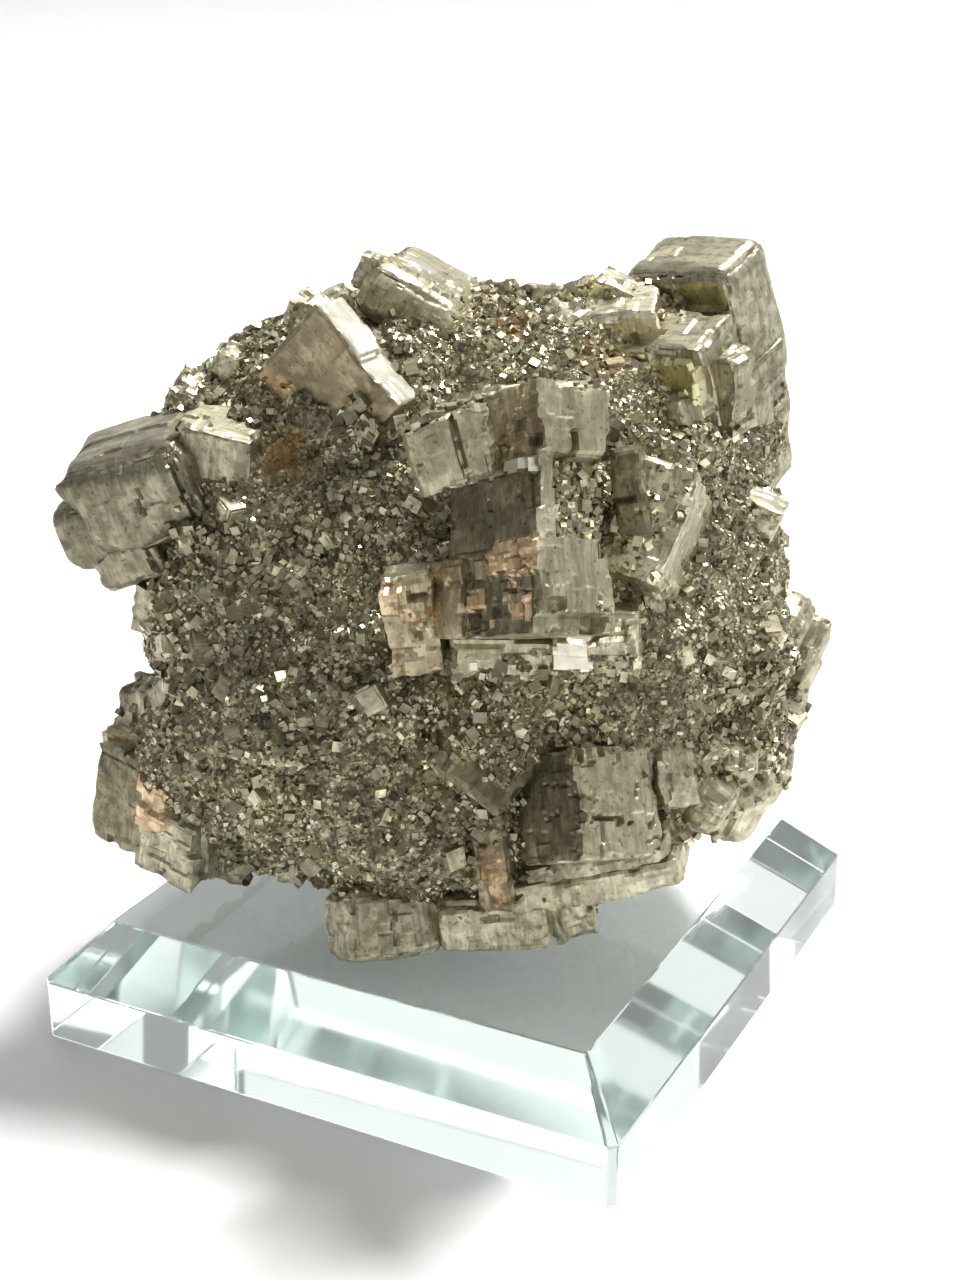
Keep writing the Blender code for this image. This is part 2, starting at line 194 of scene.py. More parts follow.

# The large crystals of the broad face, each a piece of its own.
# Their olive, dark and bright ledges and faces are partly painted light: lightened recesses,
# painted shade and painted highlights.
MAIN_CRYSTALS = (
    Crystal("top_right_block", (30.5, 26.5, 111.5), (20.5, 14, 24), TOP_RIGHT_TILT, 2.0, (
        Ledge("-y", (0.53, 0.95), (0.73, 0.92), -1.3, Tone.OLIVE_PAINTED_LIGHT, 0.1),
        Ledge("-y", (0.19, 0.48), (0.8, 0.9), -1.0, Tone.OLIVE_PAINTED_LIGHT),
        Ledge("+x", (0.0, 0.45), (0.0, 0.45), -0.5, rag=0.5, tiles=8),
        Ledge("+z", (0.15, 0.4), (0.3, 0.6), 0.12, Tone.GREY, 0.8),
    ), stepped=0, tone=Tone.DULL),
    Crystal("centre_block", (28.0, -33.2, 96.2), (22, 12, 34), CENTRE_TILT, 0.25, (
        Ledge("+x", (0.0, 1.0), (0.71, 1.0), 0.8),
        Ledge("+x", (0.42, 0.5), (0.68, 0.8), -1.4, rag=0.1),
        Ledge("+x", (0.24, 1.0), (0.37, 0.69), -3.2),
        Ledge("+x", (0.8, 1.0), (0.3, 0.37), -2.4),
        Ledge("+x", (0.0, 0.85), (0.0, 0.07), -1.8),
        Ledge("+x", (0.0, 0.3), (0.07, 0.13), -1.2),
        Ledge("-y", (0.0, 1.0), (0.66, 1.0), 0.0, Tone.BROWN),
        Ledge("-y", (0.0, 1.0), (0.66, 1.0), 0.7, Tone.DARK, tiles=10),
        Ledge("-y", (0.0, 1.0), (0.66, 1.0), 0.9, Tone.OLIVE_PAINTED_LIGHT, tiles=14),
        Ledge("-y", (0.1, 0.9), (0.66, 0.9), 0.5, Tone.COPPER, tiles=6),
        Ledge("-y", (0.75, 0.95), (0.62, 0.68), 1.3, Tone.BRIGHT_PAINTED_HIGHLIGHT, 0.1),
        Ledge("-y", (0.0, 1.0), (0.32, 0.63), 0.15, Tone.DARK, 0.3),
        Ledge("-y", (0.0, 1.0), (0.0, 0.34), 0.1, Tone.DARK, 0.8),
        Ledge("-y", (0.1, 1.0), (0.02, 0.32), 0.5, Tone.BROWN, tiles=18),
        Ledge("-y", (0.5, 1.0), (0.24, 0.36), 0.5, Tone.COPPER, 0.7),
        Ledge("-y", (0.45, 1.0), (0.22, 0.38), 0.7, Tone.COPPER, tiles=9),
        Ledge("-y", (0.05, 0.95), (0.0, 0.3), 1.1, Tone.COPPER, tiles=26),
        Ledge("+z", (0.0, 0.55), (0.1, 0.9), 0.9),
    )),
    Crystal("centre_plate", (20.7, -41.4, 106.8), (12, 5.5, 10), (-2, -15, 39), 0.25, (
        Ledge("-y", (0.0, 0.55), (0.05, 1.0), 0.6),
        Ledge("-y", (0.55, 0.6), (0.25, 1.0), -0.8, rag=0.1),
    )),
    Crystal("upper_left_slab", (-9.1, -22.3, 107), (19.5, 6.4, 19.5), (4, -44, -9), 0.5, (
        Ledge("-y", (0.0, 1.0), (0.0, 1.0), 0.0, Tone.BROWN),
        Ledge("-y", (0.0, 0.3), (0.6, 1.0), 0.2, Tone.COPPER, 0.9),
        Ledge("-y", (0.0, 0.4), (0.0, 0.5), -0.6, Tone.DARK, rag=0.8),
        # The slab's bright strip: painted highlight.
        Ledge("+x", (0.0, 1.0), (0.0, 1.0), 0.0, Tone.BRIGHT_PAINTED_HIGHLIGHT),
        Ledge("+x", (0.0, 1.0), (0.0, 0.24), 0.35, Tone.BRIGHT_PAINTED_HIGHLIGHT, 0.2),
        Ledge("+x", (0.0, 1.0), (0.46, 0.72), 0.25, Tone.BRIGHT_PAINTED_HIGHLIGHT, 0.2),
    ), stepped=0, cracked=0),
    Crystal("left_block", (-37.2, -30.8, 91.2), (24.5, 20.5, 16.5), LEFT_TILT, 3.4, (
        Ledge("+z", (0.0, 0.8), (0.45, 1.0), 0.35),
        Ledge("-y", (0.9, 0.94), (0.1, 1.0), -0.8, rag=0.3),
    ), stepped=0, cracked=1, tone=Tone.DULL),
    Crystal("low_left_block", (-32.6, -37.2, 39.6), (22.6, 12, 16.4), LOW_LEFT_TILT, 0.6, (
        Ledge("-y", (0.0, 0.5), (0.0, 1.0), 0.0, Tone.DARK),
        Ledge("-y", (0.48, 1.0), (0.0, 0.72), 0.9),
        Ledge("-y", (0.46, 0.74), (0.5, 0.95), 1.0, Tone.COPPER, 0.6),
        Ledge("+z", (0.0, 0.45), (0.0, 0.6), 1.5),
    ), tone=Tone.DULL),
    Crystal("top_block", (-8.5, 4.0, 115.2), (17, 24, 9.5), (-2, 27, 16), 2.6, (
        Ledge("+z", (0.1, 0.8), (0.15, 0.75), 0.4, rag=0.8),
        # A bright spot on top: painted highlight.
        Ledge("+z", (0.2, 0.45), (0.25, 0.5), 0.15, Tone.BRIGHT_PAINTED_HIGHLIGHT, 0.8),
        Ledge("+z", (0.5, 1.0), (0.0, 1.0), 0.4, rag=0.6, tiles=9),
    ), stepped=1, cracked=2),
    Crystal("low_right_block", (34.0, -24.0, 48.9), (13.5, 16, 16.5), LOW_RIGHT_TILT, 0.3, (
        Ledge("+x", (0.1, 0.55), (0.33, 0.37), -1.2, rag=0.4),
        Ledge("+x", (0.6, 0.9), (0.27, 0.31), -1.2, rag=0.4),
        Ledge("+x", (0.12, 0.17), (0.9, 1.0), -1.5, rag=0.1),
        Ledge("+x", (0.3, 0.35), (0.92, 1.0), -1.5, rag=0.1),
        Ledge("+x", (0.0, 0.25), (0.85, 1.0), -0.9),
        Ledge("+x", (0.2, 0.9), (0.4, 0.95), 0.2, rag=0.5),
        Ledge("-y", (0.0, 1.0), (0.0, 1.0), 0.0, Tone.DARK),
    ), cracked=5),
    Crystal("foot_block", (3, -32, 25), (11, 16.5, 11), (-9, -26.5, -33), 1.3, (
        Ledge("+z", (0.1, 0.7), (0.2, 0.7), 0.8),
    )),
    Crystal("right_plate", (37.2, -8.0, 86.2), (9.6, 22.5, 18), (-35, 11.5, 5), 0.3, (
        Ledge("+x", (0.1, 0.75), (0.1, 0.8), 0.3),
    ), cracked=0),
)

# The smaller crystals beside them, in one piece.
# Their olive, dark and bright ledges and faces are partly painted light: lightened recesses,
# painted shade and painted highlights.
SIDE_CRYSTALS = (
    Crystal("top_right_step", (29.2, 13.0, 105.3), (22, 11, 17), TOP_RIGHT_TILT, 0.3, (
        Ledge("+z", (0.0, 1.0), (0.0, 1.0), 0.0, Tone.GREY),
        Ledge("+z", (0.0, 0.6), (0.0, 0.5), -0.6, Tone.GREY, 0.5),
        Ledge("-y", (0.3, 0.6), (0.0, 1.0), 0.9, rag=0.5),
        Ledge("-y", (0.5, 0.92), (0.2, 0.85), 0.9, Tone.OLIVE_PAINTED_LIGHT),
        Ledge("-y", (0.94, 1.0), (0.0, 0.8), -1.2),
    ), tone=Tone.DULL),
    Crystal("top_right_heel", (35.6, 30.6, 95.8), (12, 11, 27), (19, 4, -11), 1.0, (
        Ledge("+x", (0.0, 0.5), (0.3, 0.8), 0.3, rag=0.6),
        Ledge("+x", (0.2, 0.7), (0.1, 0.4), 0.3, rag=0.5, tiles=5),
    ), cracked=3, tone=Tone.DULL),
    Crystal("top_right_shard", (40.5, 12.2, 104.5), (6, 6, 13), (12, 8, -20), 0.3, tone=Tone.DULL),
    Crystal("top_right_bud", (20, 14.5, 116.5), (7, 7, 6), (10, 20, 5)),
    Crystal("saddle_block", (22.5, 11.5, 113.2), (12, 9, 8), (16, -8, 14), 0.5),
    Crystal("saddle_crumb", (14.5, 6.5, 112.4), (7, 7, 6), (28, 10, -15), 0.3),
    Crystal("saddle_cube", (34.6, 5.4, 101.4), (6.5, 6, 6), (10, -20, -15), 0.3),
    Crystal("centre_foot", (28.5, -28, 76.2), (27, 13.4, 8), (-8, -2, 22), 0.2, (
        Ledge("-y", (0.0, 0.95), (0.45, 0.7), 1.3),
        Ledge("-y", (0.55, 0.75), (0.1, 0.9), 1.5, Tone.BRIGHT_PAINTED_HIGHLIGHT),
        Ledge("-y", (0.02, 0.3), (0.0, 0.55), 0.8),
        Ledge("-y", (0.8, 1.0), (0.3, 1.0), 0.9, tiles=5),
    )),
    Crystal("centre_left_step", (12.5, -37.5, 79.5), (7.5, 7, 15), (-3, -8, 20), 0.2, (
        Ledge("-y", (0.0, 1.0), (0.0, 1.0), 0.0, Tone.BROWN),
        Ledge("-y", (0.0, 0.6), (0.3, 0.9), 0.8, Tone.BROWN),
        Ledge("-y", (0.0, 0.35), (0.68, 0.95), 0.6, Tone.COPPER, 0.3),
        Ledge("-y", (0.0, 1.0), (0.1, 1.0), 0.8, Tone.COPPER, tiles=12),
    )),
    Crystal("centre_inner_step", (19.5, -36.0, 83.0), (9, 7, 11), CENTRE_TILT, 0.2, (
        Ledge("-y", (0.0, 1.0), (0.0, 1.0), 0.0, Tone.BROWN),
        Ledge("-y", (0.0, 1.0), (0.0, 1.0), 0.9, Tone.COPPER, tiles=10),
    )),
    Crystal("upper_left_bud", (-18.5, -14, 115.5), (6, 6, 6), (20, 30, 10), 0.5),
    Crystal("upper_left_crumb", (-16.5, -8.5, 116), (5, 5, 5), (10, -20, 30)),
    Crystal("top_cap", (-12.5, -4, 120.5), (5.5, 5.5, 5.5), (0, 20, 20), 0.6),
    Crystal("left_side_block", (-24.3, -29.8, 96.6), (12.5, 10, 13), (10, 8, 12), 0.4, (
        Ledge("+z", (0.0, 1.0), (0.0, 1.0), 0.0, Tone.GREY),
    ), stepped=0, tone=Tone.DULL),
    Crystal("left_underside_block", (-38.5, -34.5, 80.5), (12, 9, 8), LEFT_TILT, 1.2,
            tone=Tone.DULL),
    Crystal("left_cheek", (-45.2, -35.0, 84.8), (9, 14, 12), LEFT_TILT, 2.6, stepped=0,
            tone=Tone.DULL),
    Crystal("left_rim_block", (-35.5, -31.5, 71.5), (7, 8, 9), (10, 20, 0), tone=Tone.DULL),
    Crystal("left_rim_step", (-38.2, -34.2, 55.4), (7, 8, 8), (0, 5, 10), 0.2, tone=Tone.DULL),
    Crystal("left_rim_ledge", (-40.3, -35.3, 49.6), (8, 8, 6), (0, 5, 5), 0.2, (
        Ledge("-y", (0.2, 1.0), (0.3, 1.0), 0.5, Tone.COPPER, tiles=3),
    )),
    Crystal("low_left_bud", (-26.5, -28.5, 27.5), (6, 6, 6), (0, 10, 20), 0.4),
    Crystal("low_left_crumb", (-15, -30.5, 30.5), (5, 5, 6), (10, 0, 10)),
    Crystal("low_right_ledge", (33.5, -18.9, 36.2), (27, 15, 5), (0, -16, 18), 0.3),
    Crystal("low_right_shelf", (34.5, -20.5, 40.5), (22, 13, 3), (2, -18, 15), 0.2,
            tone=Tone.DULL),
    Crystal("low_right_step", (42.6, -14.4, 51.5), (7, 7, 10), LOW_RIGHT_TILT, 0.2),
    Crystal("low_right_lump", (46.6, -8.2, 46.2), (8, 8, 8), (20, 30, 10), 1.4),
    Crystal("low_right_pebble", (49.3, -4.2, 50.6), (6.5, 6, 7), (40, 10, 30), 1.0),
    Crystal("low_right_knob", (50.0, 1.0, 45.5), (7, 7, 7.5), (10, 40, 20), 1.3),
    Crystal("low_right_bead", (46.8, -9.0, 54.5), (4.5, 4, 5), (30, 20, 60), 0.5),
    Crystal("right_heel", (45.0, 3.5, 42.0), (13, 14, 13), (10, 20, 30), 2.2),
    Crystal("right_heel_lump", (46.5, 11.5, 47.5), (9, 11, 11), (25, 10, 50), 1.8),
    Crystal("low_centre_post", (21.3, -29.4, 39), (5.5, 6.5, 14), (-6, -10, 10), 0.2, (
        Ledge("-y", (0.0, 1.0), (0.0, 1.0), 0.0, Tone.BROWN),
        Ledge("-y", (0.3, 0.9), (0.05, 0.6), 0.3, Tone.COPPER, 0.6),
        Ledge("-y", (0.0, 0.9), (0.1, 1.0), 0.6, Tone.COPPER, tiles=14),
    )),
    # Its dark face is painted shade in the hollow it sits in.
    Crystal("pit_crystal", (18.8, -27.6, 56.0), (14, 8, 14), (-24, 40, 24), 0.3, (
        Ledge("-y", (0.0, 1.0), (0.0, 1.0), 0.0, Tone.DARK),
    ), stepped=0, cracked=0),
    Crystal("foot_step", (18.5, -24, 27), (17, 11, 8), (0, -5, 20), 0.6),
    Crystal("foot_bud", (27.5, -17, 26.5), (8, 8, 8), (0, -16, 30), 0.5),
    Crystal("right_prism", (36.8, -16.2, 92.6), (4.6, 5.5, 19.5), (-10, -12, 20), 0.3, (
        Ledge("+x", (0.0, 1.0), (0.0, 0.8), 0.2, Tone.DULL),
    ), tone=Tone.DARK),
    Crystal("right_rim_cube", (44.5, 14, 84.5), (8, 8, 7), (0, 20, 10), 0.3),
    Crystal("right_rim_bud", (48.5, 18, 65), (7.5, 10, 10), (20, 20, 10), 1.6),
    Crystal("right_rim_block", (49, 24.5, 59), (8, 10, 12), (-38, 13, 3), 0.7),
    Crystal("right_rim_step", (48.5, 18.5, 50.5), (7, 9, 9), (10, 20, 20), 0.8),
    Crystal("right_rim_foot", (47.0, 15.5, 41.5), (8.5, 10, 10), (10, 20, 20), 1.5),
    Crystal("shoulder_cube", (-36, -21, 102.5), (6, 6.5, 6), (20, 20, 10)),
    Crystal("shoulder_bud", (-30.5, -16, 106.5), (6.5, 7, 5), (0, 30, 10)),
)

# The crystals of the back, in one piece.
BACK_CRYSTALS = (
    Crystal("back_upper_block", (-16, 33, 93), (19, 15, 16), (-22, 14, 24), 0.5, (
        Ledge("+y", (0.1, 0.7), (0.2, 0.9), 0.9),
    )),
    Crystal("back_middle_block", (14, 40, 74), (17, 13, 20), (8, -18, 38), 0.5, (
        Ledge("+y", (0.3, 1.0), (0.0, 0.6), 1.0),
    )),
    Crystal("back_left_block", (-41, 18, 73), (14, 17, 15), (12, 10, -30), 0.6, (
        Ledge("-x", (0.2, 0.9), (0.1, 0.7), 0.8),
    )),
    Crystal("back_low_block", (-14, 38, 45), (18, 14, 13), (15, 12, -12), 0.6),
    Crystal("back_right_block", (33, 34, 54), (14, 14, 15), (0, 22, 25), 0.5, (
        Ledge("+x", (0.0, 0.6), (0.3, 1.0), 0.8),
    )),
    Crystal("back_left_foot", (-33, 13, 39), (12, 13, 12), (6, -14, 15), 0.6),
    Crystal("back_top_plate", (6, 24, 110), (14, 12, 9), (-14, 9, 33), 0.4),
    Crystal("back_shoulder_block", (-29, 7, 102), (12, 11, 11), (-12, -20, 18), 0.5),
    Crystal("back_bud", (-31, 33, 60), (8, 8, 8), (25, 10, 5), 0.3),
    Crystal("back_rim_bud", (27, 38, 86), (9, 8, 8), (-20, 15, 0), 0.3),
    Crystal("back_foot", (-3, 22, 26), (16, 12, 12), (4, 6, 20), 0.6),
)


@dataclass(frozen=True)
class CrustPatch:
    """A crust of small cubes on a crystal's face, nearly in line with that crystal."""

    crystal: str
    face: str
    across: Span
    along: Span
    count: int
    lift: float = 0.0
    side: Span = (0.5, 1.5)


CRUST_PATCHES = (
    CrustPatch("upper_left_slab", "-y", (0.1, 0.8), (-0.05, 0.3), 260, side=(0.5, 1.9)),
    CrustPatch("upper_left_slab", "-y", (0.1, 0.35), (0.35, 0.6), 30, side=(0.4, 1.2)),
    CrustPatch("centre_block", "+x", (0.26, 1.0), (0.37, 0.68), 260, -3.1, (0.4, 1.3)),
    CrustPatch("top_right_step", "-y", (0.0, 0.5), (0.0, 0.65), 190),
    CrustPatch("top_right_heel", "-y", (0.0, 0.7), (0.0, 0.7), 120),
    CrustPatch("left_block", "-y", (0.7, 1.0), (-0.05, 0.25), 60),
    CrustPatch("left_block", "+z", (0.85, 1.0), (0.1, 1.0), 60),
    CrustPatch("left_side_block", "-y", (0.3, 1.0), (0.0, 0.4), 60),
    CrustPatch("centre_foot", "-y", (0.0, 1.0), (0.0, 0.4), 150),
    CrustPatch("centre_plate", "+z", (0.0, 1.0), (0.0, 1.0), 60),
    CrustPatch("right_plate", "-y", (0.0, 1.0), (0.0, 1.0), 120),
    CrustPatch("low_right_ledge", "+z", (0.0, 0.7), (0.3, 1.0), 90),
)


@dataclass
class MeshStock:
    """Gathers quads and their grain values, and turns them into one mesh object.

    A corner's grain is its place across and along the growth lines, in mm, and a number
    from 0 to 1 that all corners of one crystal share.
    """

    points: list[np.ndarray] = field(default_factory=list)
    quads: list[np.ndarray] = field(default_factory=list)
    grains: list[np.ndarray] = field(default_factory=list)
    tones: list[np.ndarray] = field(default_factory=list)
    count: int = 0

    def add(
        self,
        points: np.ndarray,
        quads: np.ndarray,
        grain: np.ndarray,
        tones: np.ndarray | None = None,
    ) -> None:
        """Add faces.

        Args:
            points: Places in mm, one row a vertex.
            quads: Vertex numbers, four a face.
            grain: Three values a corner, shaped (faces, 4, 3).
            tones: The number of each face's tone; grey if left out.
        """
        if tones is None:
            tones = np.full(len(quads), Tone.GREY.value)
        self.tones.append(tones)
        self.points.append(points)
        self.quads.append(quads + self.count)
        self.grains.append(grain)
        self.count += len(points)

    def triangles(self) -> int:
        """Return how many triangles the gathered faces make."""
        return 2 * sum(len(quads) for quads in self.quads)

    def piece(
        self, name: str, materials: list[bpy.types.Material], sharp: float | None = None
    ) -> bpy.types.Object:
        """Return the gathered faces as a piece that rides on the root body.

        Args:
            name: The piece's name.
            materials: One material for each tone.
            sharp: Above this angle between faces, in radians, an edge stays sharp; all
                edges do if left out.

        Returns:
            The piece.
        """
        points = np.concatenate(self.points) * MM
        quads = np.concatenate(self.quads)
        grain = np.concatenate(self.grains)
        mesh = bpy.data.meshes.new(name)
        mesh.vertices.add(len(points))
        mesh.vertices.foreach_set("co", points.astype(np.float32).ravel())
        mesh.loops.add(quads.size)
        mesh.loops.foreach_set("vertex_index", quads.astype(np.int32).ravel())
        mesh.polygons.add(len(quads))
        mesh.polygons.foreach_set("loop_start", np.arange(0, quads.size, 4, dtype=np.int32))
        layer = mesh.attributes.new("grain", "FLOAT_VECTOR", "CORNER")
        layer.data.foreach_set("vector", grain.astype(np.float32).ravel())
        mesh.update(calc_edges=True)
        mesh.polygons.foreach_set("use_smooth", np.full(len(quads), sharp is not None))
        mesh.polygons.foreach_set("material_index", np.concatenate(self.tones).astype(np.int32))
        if sharp is not None:
            mesh.set_sharp_from_angle(angle=sharp)
        for material in materials:
            mesh.materials.append(material)
        obj = bpy.data.objects.new(name, mesh)
        bpy.context.scene.collection.objects.link(obj)
        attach(obj, ROOT_BODY)
        LOG.info("%s: %d triangles", name, self.triangles())
        return obj


@dataclass
class Core:
    """The lumpy core, measured round the direction in which its broad face looks."""

    centre: Triple = (-2.0, -1.0, 69.5)
    azimuth: float = math.radians(-62.6)
    rise: float = math.radians(21.7)
    # Radii of the outline, seen square to the broad face: every 15 degrees, anticlockwise
    # from the right-hand side.
    radii: tuple[float, ...] = (
        53, 54, 59, 62, 56, 49, 47, 49, 50, 52, 53, 51,
        49, 49, 56, 57, 52, 52, 52, 54, 55, 56, 60, 59,
    )
    front_depth: float = 35.0
    back_depth: float = 44.0
    fullness: float = 0.8
    lump_spacing: float = 17.0
    lump_height: float = 2.6
    rough_spacing: float = 4.0
    rough_height: float = 2.4
    fine_spacing: float = 1.5
    fine_height: float = 0.9
    swell_way: Triple = (29.0, -28.0, 22.0)
    swell_height: float = 9.5
    swell_reach: float = math.radians(36)

    def axes(self) -> tuple[Vector, Vector, Vector]:
        """Work out the unit directions of the broad face.

        Returns:
            Right, up and front.
        """
        front = Vector((
            math.cos(self.rise) * math.cos(self.azimuth),
            math.cos(self.rise) * math.sin(self.azimuth),
            math.sin(self.rise),
        ))
        right = Vector((0, 0, 1)).cross(front).normalized()
        return right, front.cross(right), front

    def outline_radius(self, angle: float) -> float:
        """Ease between the listed radii.

        Args:
            angle: The angle round the broad face, in radians.

        Returns:
            The outline's radius there, in mm.
        """
        place = math.degrees(angle) % 360 / (360 / len(self.radii))
        step = int(place)
        share = (1 - math.cos((place - step) * math.pi)) / 2
        low = self.radii[step % len(self.radii)]
        high = self.radii[(step + 1) % len(self.radii)]
        return low + (high - low) * share

    def point(self, angle: float, latitude: float, axes: tuple[Vector, ...]) -> Vector:
        """Return a point of the core's surface.

        Args:
            angle: The angle round the broad face, in radians.
            latitude: The angle off the broad face's rim, in radians.
            axes: What axes() gives.

        Returns:
            The place in mm.
        """
        right, up, front = axes
        spread = self.outline_radius(angle) * max(math.cos(latitude), 0.0) ** self.fullness
        depth = self.front_depth if latitude > 0 else self.back_depth
        arm = (right * math.cos(angle) + up * math.sin(angle)) * spread
        arm += front * depth * math.sin(latitude)
        centre = Vector(self.centre)
        lump = noise.noise((centre + arm) / self.lump_spacing) * self.lump_height
        lump += noise.noise((centre + arm) / self.rough_spacing) * self.rough_height
        lump += noise.noise((centre + arm) / self.fine_spacing) * self.fine_height
        off_swell = min(arm.angle(Vector(self.swell_way)) / self.swell_reach, 1.0)
        swell = self.swell_height * (1 + math.cos(math.pi * off_swell)) / 2
        return centre + arm + arm.normalized() * (lump + swell)


@dataclass(frozen=True)
class Hollow:
    """A dent in the core: its middle in mm, its reach and its depth."""

    middle: Triple
    reach: float
    depth: float


@dataclass
class Surface:
    """The core's fine mesh: places, triangles, their normals and areas, and a search tree."""

    points: np.ndarray
    triangles: np.ndarray
    normals: np.ndarray = field(init=False)
    areas: np.ndarray = field(init=False)
    point_normals: np.ndarray = field(init=False)
    tree: KDTree = field(init=False)

    def __post_init__(self) -> None:
        """Work out what follows from the places and triangles."""
        a, b, c = (self.points[self.triangles[:, corner]] for corner in range(3))
        cross = np.cross(b - a, c - a)
        length = np.linalg.norm(cross, axis=1)
        self.areas = length / 2
        self.normals = cross / np.maximum(length, 1e-9)[:, None]
        summed = np.zeros_like(self.points)
        for corner in range(3):
            np.add.at(summed, self.triangles[:, corner], cross)
        self.point_normals = summed / np.maximum(np.linalg.norm(summed, axis=1), 1e-9)[:, None]
        self.tree = KDTree(len(self.points))
        for index, place in enumerate(self.points):
            self.tree.insert(place, index)
        self.tree.balance()

    def scatter(self, rng: np.random.Generator, count: int) -> tuple[np.ndarray, np.ndarray]:
        """Spread places evenly over the surface.

        Args:
            rng: The source of chance.
            count: How many.

        Returns:
            The places in mm, and the surface's normals there.
        """
        chosen = rng.choice(len(self.triangles), count, p=self.areas / self.areas.sum())
        u, v = rng.random((2, count, 1))
        flip = u + v > 1
        u, v = np.where(flip, 1 - u, u), np.where(flip, 1 - v, v)
        a, b, c = (self.points[self.triangles[chosen, corner]] for corner in range(3))
        return a + (b - a) * u + (c - a) * v, self.normals[chosen]

    def heights(self, places: np.ndarray) -> np.ndarray:
        """Measure how far places stand off the surface.

        Args:
            places: Places in mm.

        Returns:
            One distance a place, in mm, negative inside the core.
        """
        result = np.empty(len(places))
        for row, place in enumerate(places):
            _, index, _ = self.tree.find(place)
            result[row] = (place - self.points[index]) @ self.point_normals[index]
        return result


@dataclass
class Bedrock:
    """The dark, rough rock between the crystals."""

    core: Core = field(default_factory=Core)
    subdivisions: int = 7
    hollows: tuple[Hollow, ...] = (
        Hollow((27.0, -24.0, 58.5), 6.0, 6.0),
        Hollow((20.0, -27.0, 47.0), 6.0, 5.0),
        Hollow((14.0, -33.0, 58.0), 7.0, 4.5),
        Hollow((-22.0, -37.0, 46.5), 4.5, 4.0),
        Hollow((47.0, -2.0, 57.0), 3.0, 4.0),
        Hollow((51.5, 13.0, 56.5), 4.0, 4.0),
        Hollow((13.5, -31.0, 93.0), 5.0, 4.0),
        Hollow((8.0, -34.0, 88.0), 5.0, 2.5),
        Hollow((18.0, -33.0, 72.0), 7.0, 2.5),
        Hollow((36.0, -26.0, 70.0), 7.0, 2.5),
        Hollow((-25.0, -26.0, 30.0), 5.0, 3.0),
        Hollow((34.0, 5.0, 109.0), 8.0, 4.0),
        Hollow((43.5, 16.0, 100.5), 11.0, 5.5),
        Hollow((-9.0, -29.0, 98.0), 7.0, 2.2),
        Hollow((24.5, 9.0, 112.0), 6.5, 2.6),
    )

    def surface(self) -> Surface:
        """Make the core's fine surface, dented by the hollows and level at its seat.

        Returns:
            The surface.
        """
        bm = bmesh.new()
        bmesh.ops.create_icosphere(bm, subdivisions=self.subdivisions, radius=1.0)
        axes = self.core.axes()
        points = np.array([
            self.core.point(
                math.atan2(vert.co.y, vert.co.x),
                math.asin(max(-1.0, min(1.0, vert.co.z))),
                axes,
            )
            for vert in bm.verts
        ])
        triangles = np.array([[vert.index for vert in face.verts] for face in bm.faces])
        bm.free()
        centre = np.array(self.core.centre)
        inwards = centre - points
        inwards /= np.linalg.norm(inwards, axis=1)[:, None]
        for hollow in self.hollows:
            off = np.linalg.norm(points - np.array(hollow.middle), axis=1) / hollow.reach
            points = points + inwards * (hollow.depth * np.exp(-off ** 2))[:, None]
        points[:, 2] = np.maximum(points[:, 2], SEAT_HEIGHT)
        return Surface(points, triangles)

    def build(self, surface: Surface, material: bpy.types.Material) -> bpy.types.Object:
        """Build the matrix.

        Args:
            surface: The core's surface.
            material: The rock's finish.

        Returns:
            The piece.
        """
        mesh = bpy.data.meshes.new("matrix")
        mesh.from_pydata((surface.points * MM).tolist(), [], surface.triangles.tolist())
        mesh.update()
        mesh.materials.append(material)
        obj = bpy.data.objects.new("matrix", mesh)
        bpy.context.scene.collection.objects.link(obj)
        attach(obj, ROOT_BODY)
        LOG.info("matrix: %d triangles", len(surface.triangles))
        return obj


def smooth_noise(points: np.ndarray, spacing: float, seed: int) -> np.ndarray:
    """Return soft noise between -1 and 1 at each place.

    Args:
        points: Places in mm, with the three coordinates in the last axis.
        spacing: The distance over which the noise changes, in mm.
        seed: Picks one noise out of many.

    Returns:
        One value a place.
    """
    table = np.random.default_rng(seed).uniform(-1, 1, (NOISE_TABLE,) * 3)
    scaled = points / spacing + 1000.0
    cell = np.floor(scaled).astype(int)
    part = scaled - cell
    part = part * part * (3 - 2 * part)
    total = np.zeros(points.shape[:-1])
    for dx in (0, 1):
        for dy in (0, 1):
            for dz in (0, 1):
                corner = (cell + (dx, dy, dz)) % NOISE_TABLE
                weight = 1.0
                for axis, step in enumerate((dx, dy, dz)):
                    weight = weight * (part[..., axis] if step else 1 - part[..., axis])
                total += weight * table[corner[..., 0], corner[..., 1], corner[..., 2]]
    return total


def steps_along(
    places: np.ndarray, run: Span, reach: float, rng: np.random.Generator
) -> np.ndarray:
    """Return a ragged offset that changes by sudden steps along a line.

    Args:
        places: Places along the line, rising, in mm.
        run: The shortest and longest stretch between steps, in mm.
        reach: The largest offset, in mm.
        rng: The source of chance.

    Returns:
        One offset a place, in mm.
    """
    count = int((places[-1] - places[0]) / run[0]) + 2
    stops = places[0] + np.cumsum(rng.uniform(*run, count))
    return (rng.random(count + 1) * 2 - 1)[np.searchsorted(stops, places)] * reach


